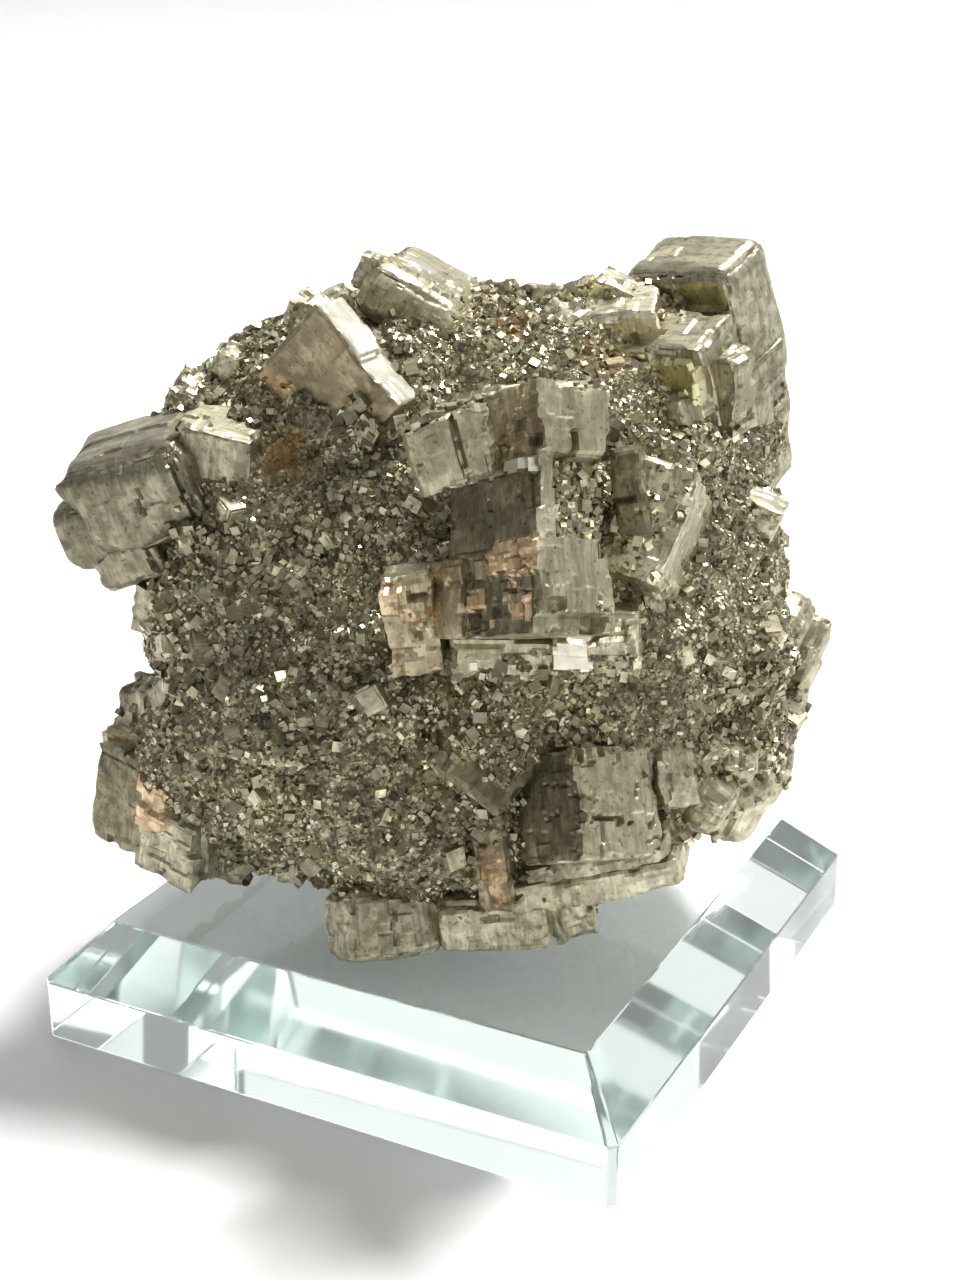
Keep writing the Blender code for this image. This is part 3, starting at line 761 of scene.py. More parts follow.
@dataclass
class Grower:
    """Grows crystals: blocks with terraces, plates, lines, cracks, notches and worn edges."""

    pitch: float = 0.42
    terraces: int = 3
    terrace_rises: tuple[float, ...] = (0.05, 0.08, 0.12, 0.2)
    terrace_reach: Span = (0.1, 0.55)
    terrace_rag: float = 0.45
    terrace_across: float = 0.4
    flakes: int = 6
    flake_size: Span = (0.8, 4.0)
    flake_rise: Span = (-0.3, 0.2)
    flake_rag: float = 0.2
    tile_size: Span = (0.8, 3.2)
    tile_rise: Span = (-0.6, 1.0)
    tile_rag: float = 0.1
    tile_toned: float = 0.4
    rag_run: Span = (0.8, 3.0)
    cracks: int = 1
    crack_length: Span = (1.5, 7.0)
    crack_depth: Span = (0.3, 0.7)
    crack_run: Span = (0.6, 1.8)
    crack_rag: float = 0.5
    crack_width: float = 0.55
    line_height: float = 0.045
    line_spacing: Span = (0.9, 9.0)
    swell: float = 0.12
    swell_spacing: float = 5.0
    ripple: float = 0.05
    ripple_spacing: float = 1.6
    chip_depth: float = 0.7
    chip_reach: float = 0.9
    chip_spacing: Span = (2.2, 0.8)
    chip_share: Span = (0.15, 0.35)
    notches: int = 5
    notch_reach: Span = (0.08, 0.3)
    notch_width: Span = (0.5, 2.2)
    notch_depth: Span = (0.3, 1.0)
    border: float = 3.0
    border_share: float = 0.9
    border_fade: float = 1.5
    wear_radius: float = 1.7
    wear_change: float = 0.45
    wear_spacing: float = 6.0
    wear_least: float = 0.12
    wear_most: float = 0.8
    warp: float = 0.16

    def relief(
        self, crystal: Crystal, face: str, u: np.ndarray, v: np.ndarray, rng: np.random.Generator
    ) -> tuple[np.ndarray, np.ndarray]:
        """Return how far a face's points rise off it, and the tone of each.

        Args:
            crystal: The crystal that bears the face.
            face: A sign and an axis letter.
            u: Places along the first of the face's two axes, in mm.
            v: Places along the second.
            rng: The source of chance.

        Returns:
            The rises in mm and the tones' numbers, one row a u.
        """
        rise = np.zeros((len(u), len(v)))
        tone = np.full((len(u), len(v)), crystal.tone.value)
        grid_u, grid_v = np.meshgrid(u, v, indexing="ij")

        def plate(
            low_u: float, high_u: float, low_v: float, high_v: float, rag: float
        ) -> np.ndarray:
            """Find the points that a ragged rectangle covers.

            Args:
                low_u: Where it starts along the first axis, in mm.
                high_u: Where it ends.
                low_v: Where it starts along the second axis.
                high_v: Where it ends.
                rag: How far its edges wander.

            Returns:
                One truth value a point.
            """
            left, right = (steps_along(v, self.rag_run, rag, rng) for _ in range(2))
            near, far = (steps_along(u, self.rag_run, rag, rng) for _ in range(2))
            return (
                (grid_u > low_u + left[None]) & (grid_u < high_u + right[None])
                & (grid_v > low_v + near[:, None]) & (grid_v < high_v + far[:, None])
            )

        def chip(sizes: Span, range_u: Span, range_v: Span, rag: float) -> np.ndarray:
            """Find the points that a small plate covers, somewhere in a range.

            Args:
                sizes: Its smallest and largest side, in mm.
                range_u: Where its middle may be along the first axis.
                range_v: Where its middle may be along the second axis.
                rag: How far its edges wander.

            Returns:
                One truth value a point.
            """
            width, height = rng.uniform(*sizes, 2)
            middle_u, middle_v = rng.uniform(*range_u), rng.uniform(*range_v)
            return plate(
                middle_u - width / 2, middle_u + width / 2,
                middle_v - height / 2, middle_v + height / 2, rag,
            )

        for _ in range(self.terraces):
            side = rng.integers(4)
            line, other = (u, v) if side < 2 else (v, u)
            reach = rng.uniform(*self.terrace_reach) * (line[-1] - line[0])
            low, high = np.sort(rng.uniform(other[0], other[-1], 2))
            if rng.random() < self.terrace_across:
                low, high = other[0] - 1, other[-1] + 1
            low_line, high_line = line[0] - 1, line[0] + reach
            if side % 2:
                low_line, high_line = line[-1] - reach, line[-1] + 1
            span = (low_line, high_line, low, high)
            if side >= 2:
                span = span[2:] + span[:2]
            rise -= plate(*span, self.terrace_rag) * rng.choice(self.terrace_rises)
        whole_u, whole_v = (u[0], u[-1]), (v[0], v[-1])
        for _ in range(self.flakes * crystal.stepped):
            hit = chip(self.flake_size, whole_u, whole_v, self.flake_rag)
            rise[hit] += rng.uniform(*self.flake_rise)
        for ledge in crystal.ledges:
            if ledge.face != face:
                continue
            span = []
            for line, (low, high) in ((u, ledge.across), (v, ledge.along)):
                width = line[-1] - line[0]
                span.append(line[0] + low * width - (low <= 0))
                span.append(line[0] + high * width + (high >= 1))
            for _ in range(ledge.tiles):
                hit = chip(self.tile_size, span[:2], span[2:], self.tile_rag)
                rise[hit] += ledge.rise * rng.uniform(*self.tile_rise)
                if ledge.tone is not None and rng.random() < self.tile_toned:
                    tone[hit] = ledge.tone.value
            if not ledge.tiles:
                hit = plate(*span, ledge.rag)
                rise[hit] += ledge.rise
                if ledge.tone is not None:
                    tone[hit] = ledge.tone.value
        for _ in range(rng.poisson(self.cracks * crystal.cracked)):
            length = rng.uniform(*self.crack_length) / 2
            middle_u, middle_v = rng.uniform(*whole_u), rng.uniform(*whole_v)
            if rng.random() < 0.5:
                wander = steps_along(v, self.crack_run, self.crack_rag, rng)[None]
                off, reach = np.abs(grid_u - middle_u - wander), np.abs(grid_v - middle_v)
            else:
                wander = steps_along(u, self.crack_run, self.crack_rag, rng)[:, None]
                off, reach = np.abs(grid_v - middle_v - wander), np.abs(grid_u - middle_u)
            hit = (off < self.pitch * self.crack_width) & (reach < length)
            rise[hit] -= rng.uniform(*self.crack_depth)
        return rise, tone

    def grow(self, stock: MeshStock, crystal: Crystal, rng: np.random.Generator) -> None:
        """Add one grown crystal to a stock.

        Args:
            stock: What the crystal is added to.
            crystal: The crystal.
            rng: The source of chance.
        """
        half = np.array(crystal.size) / 2
        counts = [max(5, round(length / self.pitch)) for length in crystal.size]
        lines = [np.linspace(-h, h, count + 1) for h, count in zip(half, counts)]
        shape = tuple(count + 1 for count in counts)
        seed = int(rng.integers(1 << 30))
        rises, tones = {}, {}
        for axis in range(3):
            second, third = (other for other in range(3) if other != axis)
            for side in (0, 1):
                name = "-+"[side] + "xyz"[axis]
                rise, tone = self.relief(crystal, name, lines[second], lines[third], rng)
                flat = np.empty(rise.shape + (3,))
                flat[..., axis] = lines[axis][-side]
                flat[..., second] = lines[second][:, None]
                flat[..., third] = lines[third][None, :]
                across = flat[..., LINE_ACROSS[axis]] / self.line_spacing[0]
                along = flat[..., LINE_ALONG[axis]] / self.line_spacing[1]
                drawn = np.stack([across, along, np.full_like(across, axis * 9 + side)], -1)
                rise += smooth_noise(drawn, 1.0, seed + 1) * self.line_height
                rise += smooth_noise(flat, self.swell_spacing, seed + 2) * self.swell
                rise += smooth_noise(flat, self.ripple_spacing, seed + 5) * self.ripple
                inner = np.sort(half - np.abs(flat), axis=-1)[..., 1]
                edge = np.clip(1 - inner / self.chip_reach, 0, 1)
                coarse, fine = (
                    smooth_noise(flat, spacing, seed + step)
                    for spacing, step in zip(self.chip_spacing, (3, 4))
                )
                rough = np.clip(coarse + self.chip_share[0], 0, 1)
                rough = rough + np.clip(fine, 0, 1) * self.chip_share[1]
                rise -= edge * rough * self.chip_depth
                rises[axis, side], tones[axis, side] = rise, tone
        for _ in range(self.notches * crystal.stepped):
            self.notch(rises, lines, rng)
        self.weld(stock, crystal, (lines, shape, rises, tones), rng.random())

    def notch(
        self,
        rises: dict[tuple[int, int], np.ndarray],
        lines: list[np.ndarray],
        rng: np.random.Generator,
    ) -> None:
        """Leave a square step where the crystal never filled out one of its edges.

        Args:
            rises: The rises of each face, by axis and side.
            lines: The places of the mesh's lines along each axis, in mm.
            rng: The source of chance.
        """
        axis = int(rng.integers(3))
        pair = [other for other in range(3) if other != axis]
        sides = rng.integers(0, 2, 2)
        run = lines[axis]
        middle = rng.uniform(run[0], run[-1])
        reach = rng.uniform(*self.notch_reach) * (run[-1] - run[0])
        hit_run = np.abs(run - middle) < reach
        width, depth = rng.uniform(*self.notch_width), rng.uniform(*self.notch_depth)
        face = int(rng.integers(2))
        other = 1 - face
        rise = rises[pair[face], int(sides[face])]
        line = lines[pair[other]]
        hit_line = np.abs(line - line[-int(sides[other])]) < width
        if axis < pair[other]:
            hit = np.outer(hit_run, hit_line)
        else:
            hit = np.outer(hit_line, hit_run)
        rise[hit] -= depth

    def weld(self, stock: MeshStock, crystal: Crystal, grown: tuple, shade: float) -> None:
        """Join the six grown faces into one closed block and add it to a stock.

        Args:
            stock: What the block is added to.
            crystal: The crystal.
            grown: The mesh's lines, its shape, and the rises and tones of each face.
            shade: The crystal's own number, from 0 to 1.
        """
        lines, shape, rises, tones = grown
        half = np.array(crystal.size) / 2
        places = np.full(shape + (3,), np.nan)
        quads, grains, shades = [], [], []
        numbers = np.arange(math.prod(shape)).reshape(shape)
        for axis in range(3):
            second, third = (other for other in range(3) if other != axis)
            for side in (0, 1):
                sign = 2 * side - 1
                where = [slice(None)] * 3
                where[axis] = -side
                where = tuple(where)
                rise = rises[axis, side]
                flat = np.empty(rise.shape + (3,))
                flat[..., axis] = sign * (half[axis] + rise)
                for other, rest in ((second, third), (third, second)):
                    line = lines[other]
                    moved = np.zeros(rise.shape)
                    for end in (0, 1):
                        beside = rises[other, end]
                        border = beside[-side, :] if axis < rest else beside[:, -side]
                        off = np.abs(line - line[-end])
                        band = np.minimum(self.border, half[other] * self.border_share)
                        fade = np.clip(1 - off / band, 0, 1) ** self.border_fade
                        if other == second:
                            moved += (2 * end - 1) * np.outer(fade, border)
                        else:
                            moved += (2 * end - 1) * np.outer(border, fade)
                    base = line[:, None] if other == second else line[None, :]
                    flat[..., other] = base + moved
                places[where] = flat
                face_numbers = numbers[where]
                corners = np.stack([
                    face_numbers[:-1, :-1], face_numbers[1:, :-1],
                    face_numbers[1:, 1:], face_numbers[:-1, 1:],
                ], axis=-1).reshape(-1, 4)
                flip = (axis == 1) != (side == 0)
                quads.append(corners[:, ::-1] if flip else corners)
                grain = np.empty(rise.shape + (3,))
                coordinates = np.meshgrid(lines[second], lines[third], indexing="ij")
                by_axis = {second: coordinates[0], third: coordinates[1]}
                grain[..., 0] = by_axis[LINE_ACROSS[axis]]
                grain[..., 1] = by_axis[LINE_ALONG[axis]]
                grain[..., 2] = shade
                flat_grain = grain.reshape(-1, 3)
                local = np.arange(rise.size).reshape(rise.shape)
                ordered = np.stack([
                    local[:-1, :-1], local[1:, :-1], local[1:, 1:], local[:-1, 1:],
                ], axis=-1).reshape(-1, 4)
                grains.append(flat_grain[ordered[:, ::-1] if flip else ordered])
                shades.append(tones[axis, side][:-1, :-1].ravel())
        used, joined = np.unique(np.concatenate(quads), return_inverse=True)
        points = places.reshape(-1, 3)[used]
        change = self.wear_change * smooth_noise(points, self.wear_spacing, WEAR_SEED)
        radius = crystal.worn * self.wear_radius * (1 + change)
        radius = np.clip(radius, self.wear_least, half.min() * self.wear_most)[:, None]
        inner = np.clip(points, radius - half, half - radius)
        rim = points - inner
        flat_reach = np.abs(rim).max(axis=1)
        round_reach = np.linalg.norm(rim, axis=1)
        points = inner + rim * (flat_reach / np.maximum(round_reach, 1e-9))[:, None]
        points = points @ crystal.turn().T + np.array(crystal.centre)
        points = points + warp_of(points) * self.warp
        points[:, 2] = np.maximum(points[:, 2], SEAT_HEIGHT)
        stock.add(points, joined.reshape(-1, 4), np.concatenate(grains), np.concatenate(shades))


def warp_of(points: np.ndarray) -> np.ndarray:
    """Return a smooth bend, the sum of several waves.

    Args:
        points: Places in mm.

    Returns:
        A shift for each place, about one unit long.
    """
    waves = np.random.default_rng(WARP_SEED)
    bend = np.zeros_like(points)
    for _ in range(WARP_WAVES):
        way = waves.normal(size=3)
        way /= np.linalg.norm(way)
        pull = waves.normal(size=3) * WARP_PULL
        length = waves.uniform(*WARP_LENGTH)
        phase = waves.uniform(0, math.tau)
        bend += np.sin(points @ way * (math.tau / length) + phase)[:, None] * pull
    return bend


@dataclass
class Druse:
    """The crust of tiny cubes, and the small crystals among them."""

    seed: int = 41
    count: int = 50000
    pieces: int = 4
    side: Span = (0.42, 1.1)
    side_bias: float = 1.6
    crust_clearance: float = 0.3
    side_change: float = 0.8
    side_limits: Span = (0.65, 1.45)
    change_spacing: float = 11.0
    uneven: Span = (0.75, 1.25)
    coarse_share: float = 0.015
    coarse_side: Span = (1.2, 2.0)
    sunk: float = 0.05
    small_count: int = 210
    small_side: Span = (1.5, 3.6)
    small_bias: float = 2.2
    small_clearance: float = 0.5
    small_sunk: float = 0.12
    small_uneven: Span = (0.75, 1.2)
    small_plates: int = 4
    small_plate_size: Span = (0.35, 0.9)
    small_plate_rise: Span = (0.04, 0.12)
    creep_count: int = 16000
    creep_height: float = 0.9
    creep_depth: float = -0.4
    creep_side: Span = (0.45, 1.2)
    creep_clearance: float = 0.4
    fine_way: Triple = (0.93, 0.3, 0.2)
    fine_share: float = 0.35
    patch_sunk: Span = (-0.3, 0.3)
    patch_uneven: Span = (0.7, 1.3)
    lean: float = math.radians(9)
    loose_share: float = 0.4
    hold: float = 0.6

    def cubes(
        self,
        stock: MeshStock,
        places: np.ndarray,
        sizes: np.ndarray,
        rng: np.random.Generator,
        turns: np.ndarray,
    ) -> None:
        """Add a cube at each place.

        Args:
            stock: What the cubes are added to.
            places: Middles in mm.
            sizes: Three sides each, in mm.
            rng: The source of chance.
            turns: Rotation matrices.
        """
        count = len(places)
        signs = np.array([[x, y, z] for x in (-1, 1) for y in (-1, 1) for z in (-1, 1)])
        local = signs[None] * sizes[:, None, :] / 2
        points = np.einsum("nij,nkj->nki", turns, local) + places[:, None, :]
        faces = np.array([
            (0, 1, 3, 2), (4, 6, 7, 5), (0, 4, 5, 1), (2, 3, 7, 6), (0, 2, 6, 4), (1, 5, 7, 3),
        ])
        quads = (np.arange(count) * 8)[:, None, None] + faces[None]
        shade = rng.random(count)
        grain = np.empty((count, 6, 4, 3))
        for face, corners in enumerate(faces):
            axis = face // 2
            grain[:, face, :, 0] = local[:, corners, LINE_ACROSS[axis]]
            grain[:, face, :, 1] = local[:, corners, LINE_ALONG[axis]]
        grain[..., 2] = shade[:, None, None]
        stock.add(points.reshape(-1, 3), quads.reshape(-1, 4), grain.reshape(-1, 4, 3))

    def clear_of(self, places: np.ndarray, margin: float) -> np.ndarray:
        """Find the places that aren't buried in a named crystal.

        Args:
            places: Places in mm.
            margin: How deep in a crystal counts as buried, in mm.

        Returns:
            One truth value a place.
        """
        free = np.ones(len(places), bool)
        for crystal in MAIN_CRYSTALS + SIDE_CRYSTALS + BACK_CRYSTALS:
            free &= ~crystal.inside(places, margin)
        return free

    def crust(
        self,
        surface: Surface,
        material: bpy.types.Material,
        carriers: list[bpy.types.Object],
    ) -> None:
        """Build the crust of tiny cubes as several pieces.

        Args:
            surface: The core's surface.
            material: The crust's finish.
            carriers: The pieces that the cubes may rest on.
        """
        rng = np.random.default_rng(self.seed)
        places, normals = surface.scatter(rng, self.count)
        change = np.array([
            noise.noise(Vector(place / self.change_spacing)) for place in places
        ])
        keep = self.clear_of(places, self.crust_clearance)
        low, high = self.side
        side = low + (high - low) * rng.random(self.count) ** self.side_bias
        side *= np.clip(1 + change * self.side_change, *self.side_limits)
        coarse = rng.random(self.count) < self.coarse_share
        side = np.where(coarse, rng.uniform(*self.coarse_side, self.count), side)
        flank = np.clip(normals @ np.array(self.fine_way), 0, 1)
        side = side * (1 - self.fine_share * flank)
        keep &= places[:, 2] - side > SEAT_HEIGHT
        places = places - normals * (side * self.sunk)[:, None]
        creeping, creep_side = self.creepers(surface, rng)
        places = np.concatenate([places[keep], creeping])
        side = np.concatenate([side[keep], creep_side])
        sizes = side[:, None] * rng.uniform(*self.uneven, (len(side), 3))
        turns = random_turns(rng, len(side))
        for patch in CRUST_PATCHES:
            extra = self.patch_cubes(patch, rng)
            places, sizes, turns = (
                np.concatenate([old, new]) for old, new in zip((places, sizes, turns), extra)
            )
        held = touching(places, sizes.min(axis=1) * self.hold, carriers)
        LOG.info("crust: %d cubes rest on a surface, %d don't", held.sum(), (~held).sum())
        places, sizes, turns = places[held], sizes[held], turns[held]
        order = rng.permutation(len(sizes))
        for number, part in enumerate(np.array_split(order, self.pieces), 1):
            stock = MeshStock()
            self.cubes(stock, places[part], sizes[part], rng, turns[part])
            stock.piece(f"druse_{number}", [material])

    def patch_cubes(
        self, patch: CrustPatch, rng: np.random.Generator
    ) -> tuple[np.ndarray, np.ndarray, np.ndarray]:
        """Spread cubes over a crust patch.

        Args:
            patch: The patch.
            rng: The source of chance.

        Returns:
            The cubes' places and sizes in mm, and their rotation matrices.
        """
        crystals = MAIN_CRYSTALS + SIDE_CRYSTALS
        crystal = next(one for one in crystals if one.name == patch.crystal)
        axis = "xyz".index(patch.face[1])
        sign = 1 if patch.face[0] == "+" else -1
        size = np.array(crystal.size)
        local = np.empty((patch.count, 3))
        others = [other for other in range(3) if other != axis]
        for other, span in zip(others, (patch.across, patch.along)):
            local[:, other] = (rng.uniform(*span, patch.count) - 0.5) * size[other]
        low, high = patch.side
        side = low + (high - low) * rng.random(patch.count) ** 2
        sunk = side * rng.uniform(*self.patch_sunk, patch.count)
        local[:, axis] = sign * (size[axis] / 2 + patch.lift + sunk)
        turn = crystal.turn()
        places = local @ turn.T + np.array(crystal.centre)
        sizes = side[:, None] * rng.uniform(*self.patch_uneven, (patch.count, 3))
        lean = rng.normal(0, self.lean, (patch.count, 3))
        nearly = np.array([np.array(Euler(row, "XYZ").to_matrix()) for row in lean])
        loose = rng.random(patch.count) < self.loose_share
        turns = np.where(loose[:, None, None], random_turns(rng, patch.count), turn @ nearly)
        return places, sizes, turns

    def creepers(
        self, surface: Surface, rng: np.random.Generator
    ) -> tuple[np.ndarray, np.ndarray]:
        """Spread cubes that creep from the crust onto the crystals.

        Args:
            surface: The core's surface.
            rng: The source of chance.

        Returns:
            The cubes' places and their sides, in mm.
        """
        crystals = MAIN_CRYSTALS + SIDE_CRYSTALS + BACK_CRYSTALS
        areas = np.array([
            2 * (x * y + y * z + z * x) for x, y, z in (crystal.size for crystal in crystals)
        ])
        shares = areas / sum(areas)
        places = []
        for crystal, share in zip(crystals, shares):
            number = round(self.creep_count * share)
            half = np.array(crystal.size) / 2
            local = rng.uniform(-1, 1, (number, 3)) * half
            face_areas = np.array([half[1] * half[2], half[2] * half[0], half[0] * half[1]])
            axis = rng.choice(3, number, p=face_areas / face_areas.sum())
            sign = rng.choice((-1, 1), number)
            local[np.arange(number), axis] = half[axis] * sign
            places.append(local @ crystal.turn().T + np.array(crystal.centre))
        places = np.concatenate(places)
        height = surface.heights(places)
        chance = np.exp(-np.clip(height, 0, None) / self.creep_height)
        keep = (height > self.creep_depth) & (rng.random(len(places)) < chance)
        keep &= self.clear_of(places, self.creep_clearance)
        side = rng.uniform(*self.creep_side, len(places))
        keep &= places[:, 2] - side > SEAT_HEIGHT
        return places[keep], side[keep]

    def small_crystals(
        self, surface: Surface, material: bpy.types.Material
    ) -> bpy.types.Object:
        """Build the small crystals, each with a few growth plates on it.

        Args:
            surface: The core's surface.
            material: Their finish.

        Returns:
            The piece.
        """
        rng = np.random.default_rng(self.seed + 1)
        places, normals = surface.scatter(rng, self.small_count)
        low, high = self.small_side
        side = low + (high - low) * rng.random(self.small_count) ** self.small_bias
        keep = self.clear_of(places, self.small_clearance)
        keep &= places[:, 2] - side > SEAT_HEIGHT
        places = (places - normals * (side * self.small_sunk)[:, None])[keep]
        side = side[keep]
        sizes = side[:, None] * rng.uniform(*self.small_uneven, (len(side), 3))
        turns = random_turns(rng, len(side))
        stock = MeshStock()
        self.cubes(stock, places, sizes, rng, turns)
        rows = np.arange(len(side))
        for _ in range(self.small_plates):
            axis = rng.integers(0, 3, len(side))
            plate = sizes * rng.uniform(*self.small_plate_size, sizes.shape)
            shift = rng.uniform(-1, 1, sizes.shape) * (sizes - plate) / 2
            plate[rows, axis] = sizes[rows, axis]
            way = rng.choice((-1, 1), len(side))
            shift[rows, axis] = way * side * rng.uniform(*self.small_plate_rise, len(side))
            moved = places + np.einsum("nij,nj->ni", turns, shift)
            self.cubes(stock, moved, plate, rng, turns)
        return stock.piece("small_crystals", [material])


def touching(
    places: np.ndarray, reach: np.ndarray, carriers: list[bpy.types.Object]
) -> np.ndarray:
    """Return which places are near enough to a carrier's surface.

    Args:
        places: Places in mm.
        reach: How far off a surface each may be, in mm.
        carriers: The pieces whose surfaces count.

    Returns:
        One truth value a place.
    """
    points: list[Vector] = []
    faces: list[list[int]] = []
    for carrier in carriers:
        start = len(points)
        points.extend(vertex.co / MM for vertex in carrier.data.vertices)
        faces.extend([start + index for index in face.vertices] for face in carrier.data.polygons)
    tree = BVHTree.FromPolygons(points, faces)
    return np.array([tree.find_nearest(place)[3] for place in places]) < reach


def random_turns(rng: np.random.Generator, count: int) -> np.ndarray:
    """Return that many random rotation matrices.

    Args:
        rng: The source of chance.
        count: How many.

    Returns:
        The matrices, stacked.
    """
    rows = rng.normal(size=(count, 4))
    w, x, y, z = (rows / np.linalg.norm(rows, axis=1)[:, None]).T
    return np.stack([
        np.stack([1 - 2 * (y * y + z * z), 2 * (x * y - w * z), 2 * (x * z + w * y)], 1),
        np.stack([2 * (x * y + w * z), 1 - 2 * (x * x + z * z), 2 * (y * z - w * x)], 1),
        np.stack([2 * (x * z - w * y), 2 * (y * z + w * x), 1 - 2 * (x * x + y * y)], 1),
    ], 1)


# ---- materials -------------------------------------------------------------------------


class Graph:
    """A short way to add and link shader nodes in one tree."""

    def __init__(self, tree: bpy.types.NodeTree) -> None:
        """Keep the tree."""
        self.tree = tree

    def node(
        self, kind: str, inputs: dict | None = None, **settings: object
    ) -> bpy.types.Node:
        """Add a node.

        Args:
            kind: The node's type name, without its ShaderNode prefix.
            inputs: Values or output sockets for named or numbered inputs.
            settings: The node's own settings.

        Returns:
            The node.
        """
        made = self.tree.nodes.new("ShaderNode" + kind)
        for name, value in settings.items():
            setattr(made, name, value)
        for name, value in (inputs or {}).items():
            if isinstance(value, Socket):
                self.tree.links.new(value, made.inputs[name])
            else:
                made.inputs[name].default_value = value
        return made

    def math(self, operation: str, *values: float | Socket) -> Socket:
        """Return the result of a Math node."""
        made = self.node("Math", dict(enumerate(values)), operation=operation)
        return made.outputs[0]

    def vector(self, operation: str, *values: tuple | Socket) -> bpy.types.Node:
        """Return a Vector Math node."""
        return self.node("VectorMath", dict(enumerate(values)), operation=operation)

    def mix(self, share: Socket, low: tuple | Socket, high: tuple | Socket) -> Socket:
        """Return a colour between two."""
        inputs = {0: share, 6: low, 7: high}
        return self.node("Mix", inputs, data_type="RGBA", clamp_factor=True).outputs[2]

    def ramp(self, value: Socket, low: float, high: float) -> Socket:
        """Return a value spread from 0 at low to 1 at high, and held outside."""
        made = self.node("MapRange", {0: value, 1: low, 2: high, 3: 0.0, 4: 1.0})
        return made.outputs[0]

    def noise(self, vector: Socket, scale: float, detail: float = 2.0) -> Socket:
        """Return a noise texture's value."""
        made = self.node("TexNoise", {"Vector": vector, "Scale": scale, "Detail": detail})
        return made.outputs[0]


def new_group(name: str, inputs: dict, outputs: dict) -> tuple[bpy.types.NodeTree, Graph]:
    """Return an empty node group and its graph.

    Args:
        name: The group's name.
        inputs: Socket types by name.
        outputs: Socket types by name.

    Returns:
        The group's tree, and a graph that adds to it.
    """
    tree = bpy.data.node_groups.new(name, "ShaderNodeTree")
    for names, way in ((inputs, "INPUT"), (outputs, "OUTPUT")):
        for socket, kind in names.items():
            tree.interface.new_socket(socket, in_out=way, socket_type=kind)
    return tree, Graph(tree)


def new_material(name: str) -> tuple[bpy.types.Material, Graph, bpy.types.Node]:
    """Make a material.

    Args:
        name: Its name.

    Returns:
        The material, a graph that adds to it, and its shader.
    """
    made = bpy.data.materials.new(name)
    made.use_nodes = True
    return made, Graph(made.node_tree), made.node_tree.nodes["Principled BSDF"]


# Growth lines: what sets two crystals' lines apart, the scale and reach of their bends, how
# far fine and coarse ones are drawn out, and the fine ones' part of the height.
LINE_NUMBERS = 61.0
LINE_BEND_SCALE = 170.0
LINE_BEND = 2.4
FINE_STRETCH = 0.3
COARSE_STRETCH = 0.12
FINE_HEIGHT = 0.6


def growth_line_group() -> bpy.types.NodeTree:
    """Build the group that draws growth lines.

    Returns:
        A group that gives the lines' height, their streaks and the crystal's own number.
    """
    tree, graph = new_group(
        "growth_lines",
        {"Fine": "NodeSocketFloat", "Coarse": "NodeSocketFloat"},
        {"Height": "NodeSocketFloat", "Number": "NodeSocketFloat", "Streaks": "NodeSocketFloat"},
    )
    given = tree.nodes.new("NodeGroupInput")
    result = tree.nodes.new("NodeGroupOutput")
    grain = graph.node("Attribute", attribute_name="grain").outputs["Vector"]
    parts = graph.node("SeparateXYZ", {0: grain}).outputs
    number = graph.math("MULTIPLY", parts[2], LINE_NUMBERS)
    place = graph.node("TexCoord").outputs["Object"]
    bend = graph.math("MULTIPLY", graph.noise(place, LINE_BEND_SCALE, 1.0), LINE_BEND)
    bent = graph.math("ADD", parts[0], bend)

    def lines(frequency: Socket, stretch: float, detail: float) -> Socket:
        """Draw noise out along the lines.

        Args:
            frequency: How many lines there are across a millimetre.
            stretch: How fast they change along their length.
            detail: The noise's detail.

        Returns:
            The noise's value.
        """
        across = graph.math("MULTIPLY", bent, frequency)
        along = graph.math("MULTIPLY", parts[1], stretch)
        vector = graph.node("CombineXYZ", {0: across, 1: along, 2: number}).outputs[0]
        return graph.noise(vector, 1.0, detail)

    fine = lines(given.outputs["Fine"], FINE_STRETCH, 3.0)
    coarse = lines(given.outputs["Coarse"], COARSE_STRETCH, 1.0)
    height = graph.math("ADD", graph.math("MULTIPLY", fine, FINE_HEIGHT), coarse)
    streaks = graph.math("MULTIPLY", graph.math("ADD", fine, coarse), 0.5)
    graph.tree.links.new(height, result.inputs["Height"])
    graph.tree.links.new(parts[2], result.inputs["Number"])
    graph.tree.links.new(streaks, result.inputs["Streaks"])
    return tree


def facet_group() -> bpy.types.NodeTree:
    """Build the group that breaks a surface up into tiny tilted facets.

    Returns:
        A group that gives the facets' height, and each one's number.
    """
    tree, graph = new_group(
        "facets",
        {"Scale": "NodeSocketFloat"},
        {"Height": "NodeSocketFloat", "Number": "NodeSocketFloat"},
    )
    given = tree.nodes.new("NodeGroupInput").outputs["Scale"]
    result = tree.nodes.new("NodeGroupOutput")
    place = graph.node("TexCoord").outputs["Object"]
    cells = graph.node("TexVoronoi", {"Vector": place, "Scale": given}, distance="CHEBYCHEV")
    off = graph.vector("SUBTRACT", place, cells.outputs["Position"]).outputs[0]
    off = graph.node("VectorMath", {0: off, "Scale": given}, operation="SCALE").outputs[0]
    way = graph.vector("SUBTRACT", cells.outputs["Color"], (0.5, 0.5, 0.5)).outputs[0]
    height = graph.vector("DOT_PRODUCT", off, way).outputs["Value"]
    number = graph.node("SeparateColor", {0: cells.outputs["Color"]}).outputs[0]
    graph.tree.links.new(height, result.inputs["Height"])
    graph.tree.links.new(number, result.inputs["Number"])
    return tree
